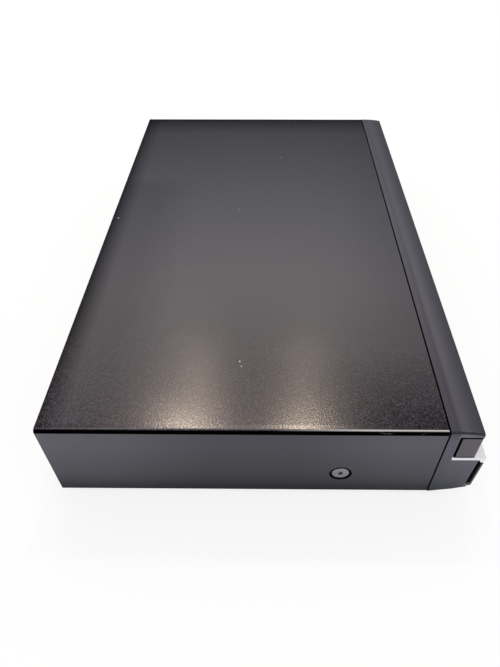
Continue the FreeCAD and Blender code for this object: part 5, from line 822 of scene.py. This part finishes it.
def ring_only(profile, place, axis, steps):
    """A turned ring, closed on its inner side."""
    points, faces = turned(profile, place, axis, steps)
    last = len(points) - steps
    for step in range(steps):
        after = (step + 1) % steps
        faces.append((last + step, last + after, after, step))
    return points, faces


def block(low, high):
    (x0, y0, z0), (x1, y1, z1) = low, high
    points = [(x, y, z) for z in (z0, z1) for x, y in ((x0, y0), (x1, y0), (x1, y1), (x0, y1))]
    faces = [(0, 3, 2, 1), (4, 5, 6, 7), (0, 1, 5, 4), (1, 2, 6, 5), (2, 3, 7, 6), (3, 0, 4, 7)]
    return points, faces


# How wide the floor of a recess is as a share of its mouth.
RECESS_FLOOR = 0.6


def screw_head(profile, place, axis, turn, recess, steps):
    """A turned head whose flat top has a cross recess of an arm, width and depth that narrows."""
    arm, width, depth = recess
    points, faces = turned(profile, place, axis, steps)
    faces.append(tuple(reversed(range(steps))))
    top = list(range(len(points) - steps, len(points)))
    along, across, other = directions(axis)
    outline = []
    for quarter in range(4):
        angle = turn + quarter * math.pi / 2
        outward = across * math.cos(angle) + other * math.sin(angle)
        sideways = along.cross(outward)
        outline += [outward * arm - sideways * width / 2, outward * arm + sideways * width / 2,
                    (outward + sideways) * width / 2]
    count = len(outline)
    middle = Vector(place) + along * profile[-1][1]
    rim = list(range(len(points), len(points) + count))
    points += [middle + p for p in outline]
    low = list(range(len(points), len(points) + count))
    points += [middle - along * depth + p * RECESS_FLOOR for p in outline]
    loop = top + rim
    for triangle in tessellate_polygon([[points[i] for i in top], [points[i] for i in rim]]):
        a, b, c = (loop[i] for i in triangle)
        upward = (points[b] - points[a]).cross(points[c] - points[a]).dot(along) > 0
        faces.append((a, b, c) if upward else (a, c, b))
    for i in range(count):
        j = (i + 1) % count
        faces.append((rim[i], rim[j], low[j], low[i]))
    faces.append(tuple(low))
    return points, faces


SMOOTH_BELOW = math.radians(35.0)


def smooth_by_angle(obj):
    for face in obj.data.polygons:
        face.use_smooth = True
    obj.data.set_sharp_from_angle(angle=SMOOTH_BELOW)


def finished(obj, body, material, nodes=()):
    obj.data.materials.clear()
    obj.data.materials.append(material)
    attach(obj, body)
    if nodes:
        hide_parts(*nodes)
    return obj


# The screws: profiles as (radius, height), and each recess as arm, width and depth.
SIDE_SEAT, SIDE_STEPS, SIDE_TURNS = 0.2138, 48, ((-1, 0.45), (1, 1.1))
SIDE_HEAD = [(0.0015, -0.0008), (0.0015, 0.0), (0.00545, 0.0), (0.00555, 0.0002), (0.00555, 0.00074),
             (0.00540, 0.00094), (0.0050, 0.00105), (0.0040, 0.00110), (0.0030, 0.00112)]
# The ring under each side head is painted shade: a near black sheet in the dimple's shadow.
SIDE_SHADE_RING = [(0.00575, 0.0), (0.0068, 0.0), (0.0068, 0.00025), (0.00575, 0.00025)]
SIDE_RECESS = (0.00215, 0.00110, 0.0009)
PAN_TOP, PAN_STEPS = 0.0017, 28
PAN_HEAD = [(0.0013, -0.0060), (0.0015, -0.0056), (0.0015, 0.0), (0.00285, 0.0), (0.0029, 0.0003),
            (0.0028, 0.0008), (0.0024, 0.00135), (0.00195, PAN_TOP)]
PAN_RECESS = (0.0015, 0.00055, 0.0008)


def add_screws():
    """All outside screws with their cross recesses, and a near black ring of painted shade in each side
    dimple.
    """
    heads, shade_rings = [], []
    for side, turn in SIDE_TURNS:
        axis, place = (side, 0, 0), (side * SIDE_SEAT, SIDE_SCREW_Y, SIDE_SCREW_Z)
        heads.append(screw_head(SIDE_HEAD, place, axis, turn, SIDE_RECESS, SIDE_STEPS))
        shade_rings.append(ring_only(SIDE_SHADE_RING, place, axis, SIDE_STEPS))
    heads = joined_mesh("side_screw_heads", heads)
    smooth_by_angle(heads)
    finished(heads, "root", MATERIALS["black_screw"], ["side_screws"])
    rings = joined_mesh("side_screw_shade_rings", shade_rings)
    smooth_by_angle(rings)
    finished(rings, "root", SHADE_RING)
    heads = joined_mesh("panel_screw_heads",
                        [screw_head(PAN_HEAD, place, axis, 0.3 + 70 * place[0], PAN_RECESS, PAN_STEPS)
                         for place, axis in panel_screw_places()])
    smooth_by_angle(heads)
    finished(heads, "root", MATERIALS["plain_screw"], ["panel_screws"])


def islands(mesh):
    """The points of a mesh, sorted into the groups that edges or shared places join."""
    parent = list(range(len(mesh.vertices)))

    def root_of(i):
        while parent[i] != i:
            parent[i] = parent[parent[i]]
            i = parent[i]
        return i

    seen = {}
    for i, vertex in enumerate(mesh.vertices):
        key = tuple(round(c, 6) for c in vertex.co)
        if key in seen:
            parent[root_of(i)] = root_of(seen[key])
        else:
            seen[key] = i
    for edge in mesh.edges:
        a, b = edge.vertices
        parent[root_of(a)] = root_of(b)
    groups = {}
    for i, vertex in enumerate(mesh.vertices):
        groups.setdefault(root_of(i), []).append(vertex.co)
    return groups.values()


def panel_screw_places():
    """Where each head of panel_screws sits and which way it faces: down, to the rear or to the front."""
    places = []
    for points in islands(NODES["panel_screws"].data):
        low = Vector(min(p[i] for p in points) for i in range(3))
        high = Vector(max(p[i] for p in points) for i in range(3))
        middle, size = (low + high) / 2, high - low
        if size.z > size.y:
            places.append(((middle.x, middle.y, low.z + PAN_TOP), (0, 0, -1)))
        elif middle.y > 0:
            places.append(((middle.x, high.y - PAN_TOP, middle.z), (0, 1, 0)))
        else:
            places.append(((middle.x, low.y + PAN_TOP, middle.z), (0, -1, 0)))
    return sorted(places)


def flat_shape(outline, y, thick):
    """A thin prism from an outline in x and z, on a face that looks to -y."""
    count = len(outline)
    points = [(x, y, z) for x, z in outline] + [(x, y - thick, z) for x, z in outline]
    faces = [tuple(range(count)), tuple(reversed(range(count, 2 * count)))]
    for i in range(count):
        j = (i + 1) % count
        faces.append((i, i + count, j + count, j))
    return points, faces


def rectangle(low_x, low_z, high_x, high_z):
    return [(low_x, low_z), (high_x, low_z), (high_x, high_z), (low_x, high_z)]


def arc_band(radius, width, start, end, steps=24):
    """A bent band as the outlines of short pieces."""
    inner, outer = radius - width / 2, radius + width / 2
    outlines = []
    for step in range(steps):
        a = start + (end - start) * step / steps
        b = start + (end - start) * (step + 1) / steps
        outlines.append([(r * math.cos(t), r * math.sin(t)) for r, t in
                         ((inner, a), (outer, a), (outer, b), (inner, b))])
    return outlines


def disc(radius, steps=28):
    turns = [2 * math.pi * i / steps for i in range(steps)]
    return [(radius * math.cos(turn), radius * math.sin(turn)) for turn in turns]


# The outlines of each key's sign, in x and z from the middle of the sign.
SIGN_Z, SIGN_THICK, SIGN_SINK, SIGN_HALF = 0.057, 0.00006, 0.00002, 0.0011
SIGNS = {
    "power": arc_band(SIGN_HALF, 0.00028, math.radians(125), math.radians(415))
    + [rectangle(-0.00014, 0.0001, 0.00014, 0.0015)],
    "open": [[(-0.0012, -0.0002), (0.0012, -0.0002), (0.0, 0.0012)],
             rectangle(-0.0012, -0.0010, 0.0012, -0.0006)],
    "stop": [rectangle(-SIGN_HALF, -SIGN_HALF, SIGN_HALF, SIGN_HALF)],
    "play": [[(-0.0010, -0.0013), (0.0014, 0.0), (-0.0010, 0.0013)]],
    "record": [disc(SIGN_HALF)],
}


def add_key_signs():
    """Plain signs on the keys: a ring with a bar, a triangle on a bar, a square, a triangle and a dot."""
    for name, outlines in SIGNS.items():
        low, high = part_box(f"{name}_button")
        x, y = (low.x + high.x) / 2, low.y + SIGN_SINK
        sign = joined_mesh(f"{name}_sign",
                           [flat_shape([(x + across, SIGN_Z + up) for across, up in outline], y, SIGN_THICK)
                            for outline in outlines])
        finished(sign, f"{name}_key", SIGN_RED if name == "record" else SIGN_WHITE)


# The display's digits, with a wider gap after the second and the fourth.
DIGITS, FIRST_DIGIT, DIGIT_PITCH, DIGIT_GAP, LEAN = 8, 0.010, 0.0092, 0.003, 0.10
HALF_WIDE, HALF_TALL, SEGMENT_WIDE, SEGMENT_GAP, SEGMENT_THICK = 0.0018, 0.0033, 0.0006, 0.00012, 0.00008
# The bars of a digit, from one point to another in half widths and half heights.
DIGIT_BARS = ((-1, 1, 1, 1), (-1, 0, 1, 0), (-1, -1, 1, -1), (-1, 0, -1, 1), (1, 0, 1, 1), (-1, -1, -1, 0),
              (1, -1, 1, 0))


def segment(x, z, start, end):
    """The outline of a leaning bar with pointed ends, between two points of a digit's middle."""
    start, end = Vector((start[0], 0, start[1])), Vector((end[0], 0, end[1]))
    along = (end - start).normalized()
    side = Vector((-along.z, 0, along.x)) * (SEGMENT_WIDE / 2)
    a, b = start + along * SEGMENT_GAP, end - along * SEGMENT_GAP
    tip = along * SEGMENT_WIDE / 2
    corners = [a, a + tip + side, b - tip + side, b, b - tip - side, a + tip - side]
    return [(x + c.x + LEAN * c.z, z + c.z) for c in reversed(corners)]


def add_display():
    """The unlit segments on the face of the display tube."""
    low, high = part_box("display_tube")
    y, z = low.y, (low.z + high.z) / 2
    parts = []
    for digit in range(DIGITS):
        x = low.x + FIRST_DIGIT + digit * DIGIT_PITCH + DIGIT_GAP * (digit > 1) + DIGIT_GAP * (digit > 3)
        for x0, z0, x1, z1 in DIGIT_BARS:
            outline = segment(x, z, (x0 * HALF_WIDE, z0 * HALF_TALL), (x1 * HALF_WIDE, z1 * HALF_TALL))
            parts.append(flat_shape(outline, y, SEGMENT_THICK))
    segments = joined_mesh("display_segments", parts)
    finished(segments, "root", SEGMENTS)


# The blades of the wide sockets: middles in z, and each row's start before the middle and its z.
SCART_Z, SCART_ROWS = (0.0275, 0.0485), ((0.0171, 0.00445, 0.00485), (0.0190, -0.00485, -0.00445))
BLADES, BLADE_PITCH, BLADE_HALF, BLADE_START, BLADE_END = 10, 0.0038, 0.0008, 0.1226, 0.1290


def add_socket_contacts():
    """The thin contact blades in the grooves of the two wide sockets."""
    low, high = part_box("scart_sockets")
    middle_x = (low.x + high.x) / 2
    parts = []
    for z in SCART_Z:
        for before, under, over in SCART_ROWS:
            for step in range(BLADES):
                x = middle_x - before + BLADE_PITCH * step
                parts.append(block((x - BLADE_HALF, BLADE_START, z + under),
                                   (x + BLADE_HALF, BLADE_END, z + over)))
    blades = joined_mesh("scart_blades", parts)
    finished(blades, "root", MATERIALS["plain_screw"])


build_studio()
dress_nodes()
add_screws()
add_key_signs()
add_display()
add_socket_contacts()
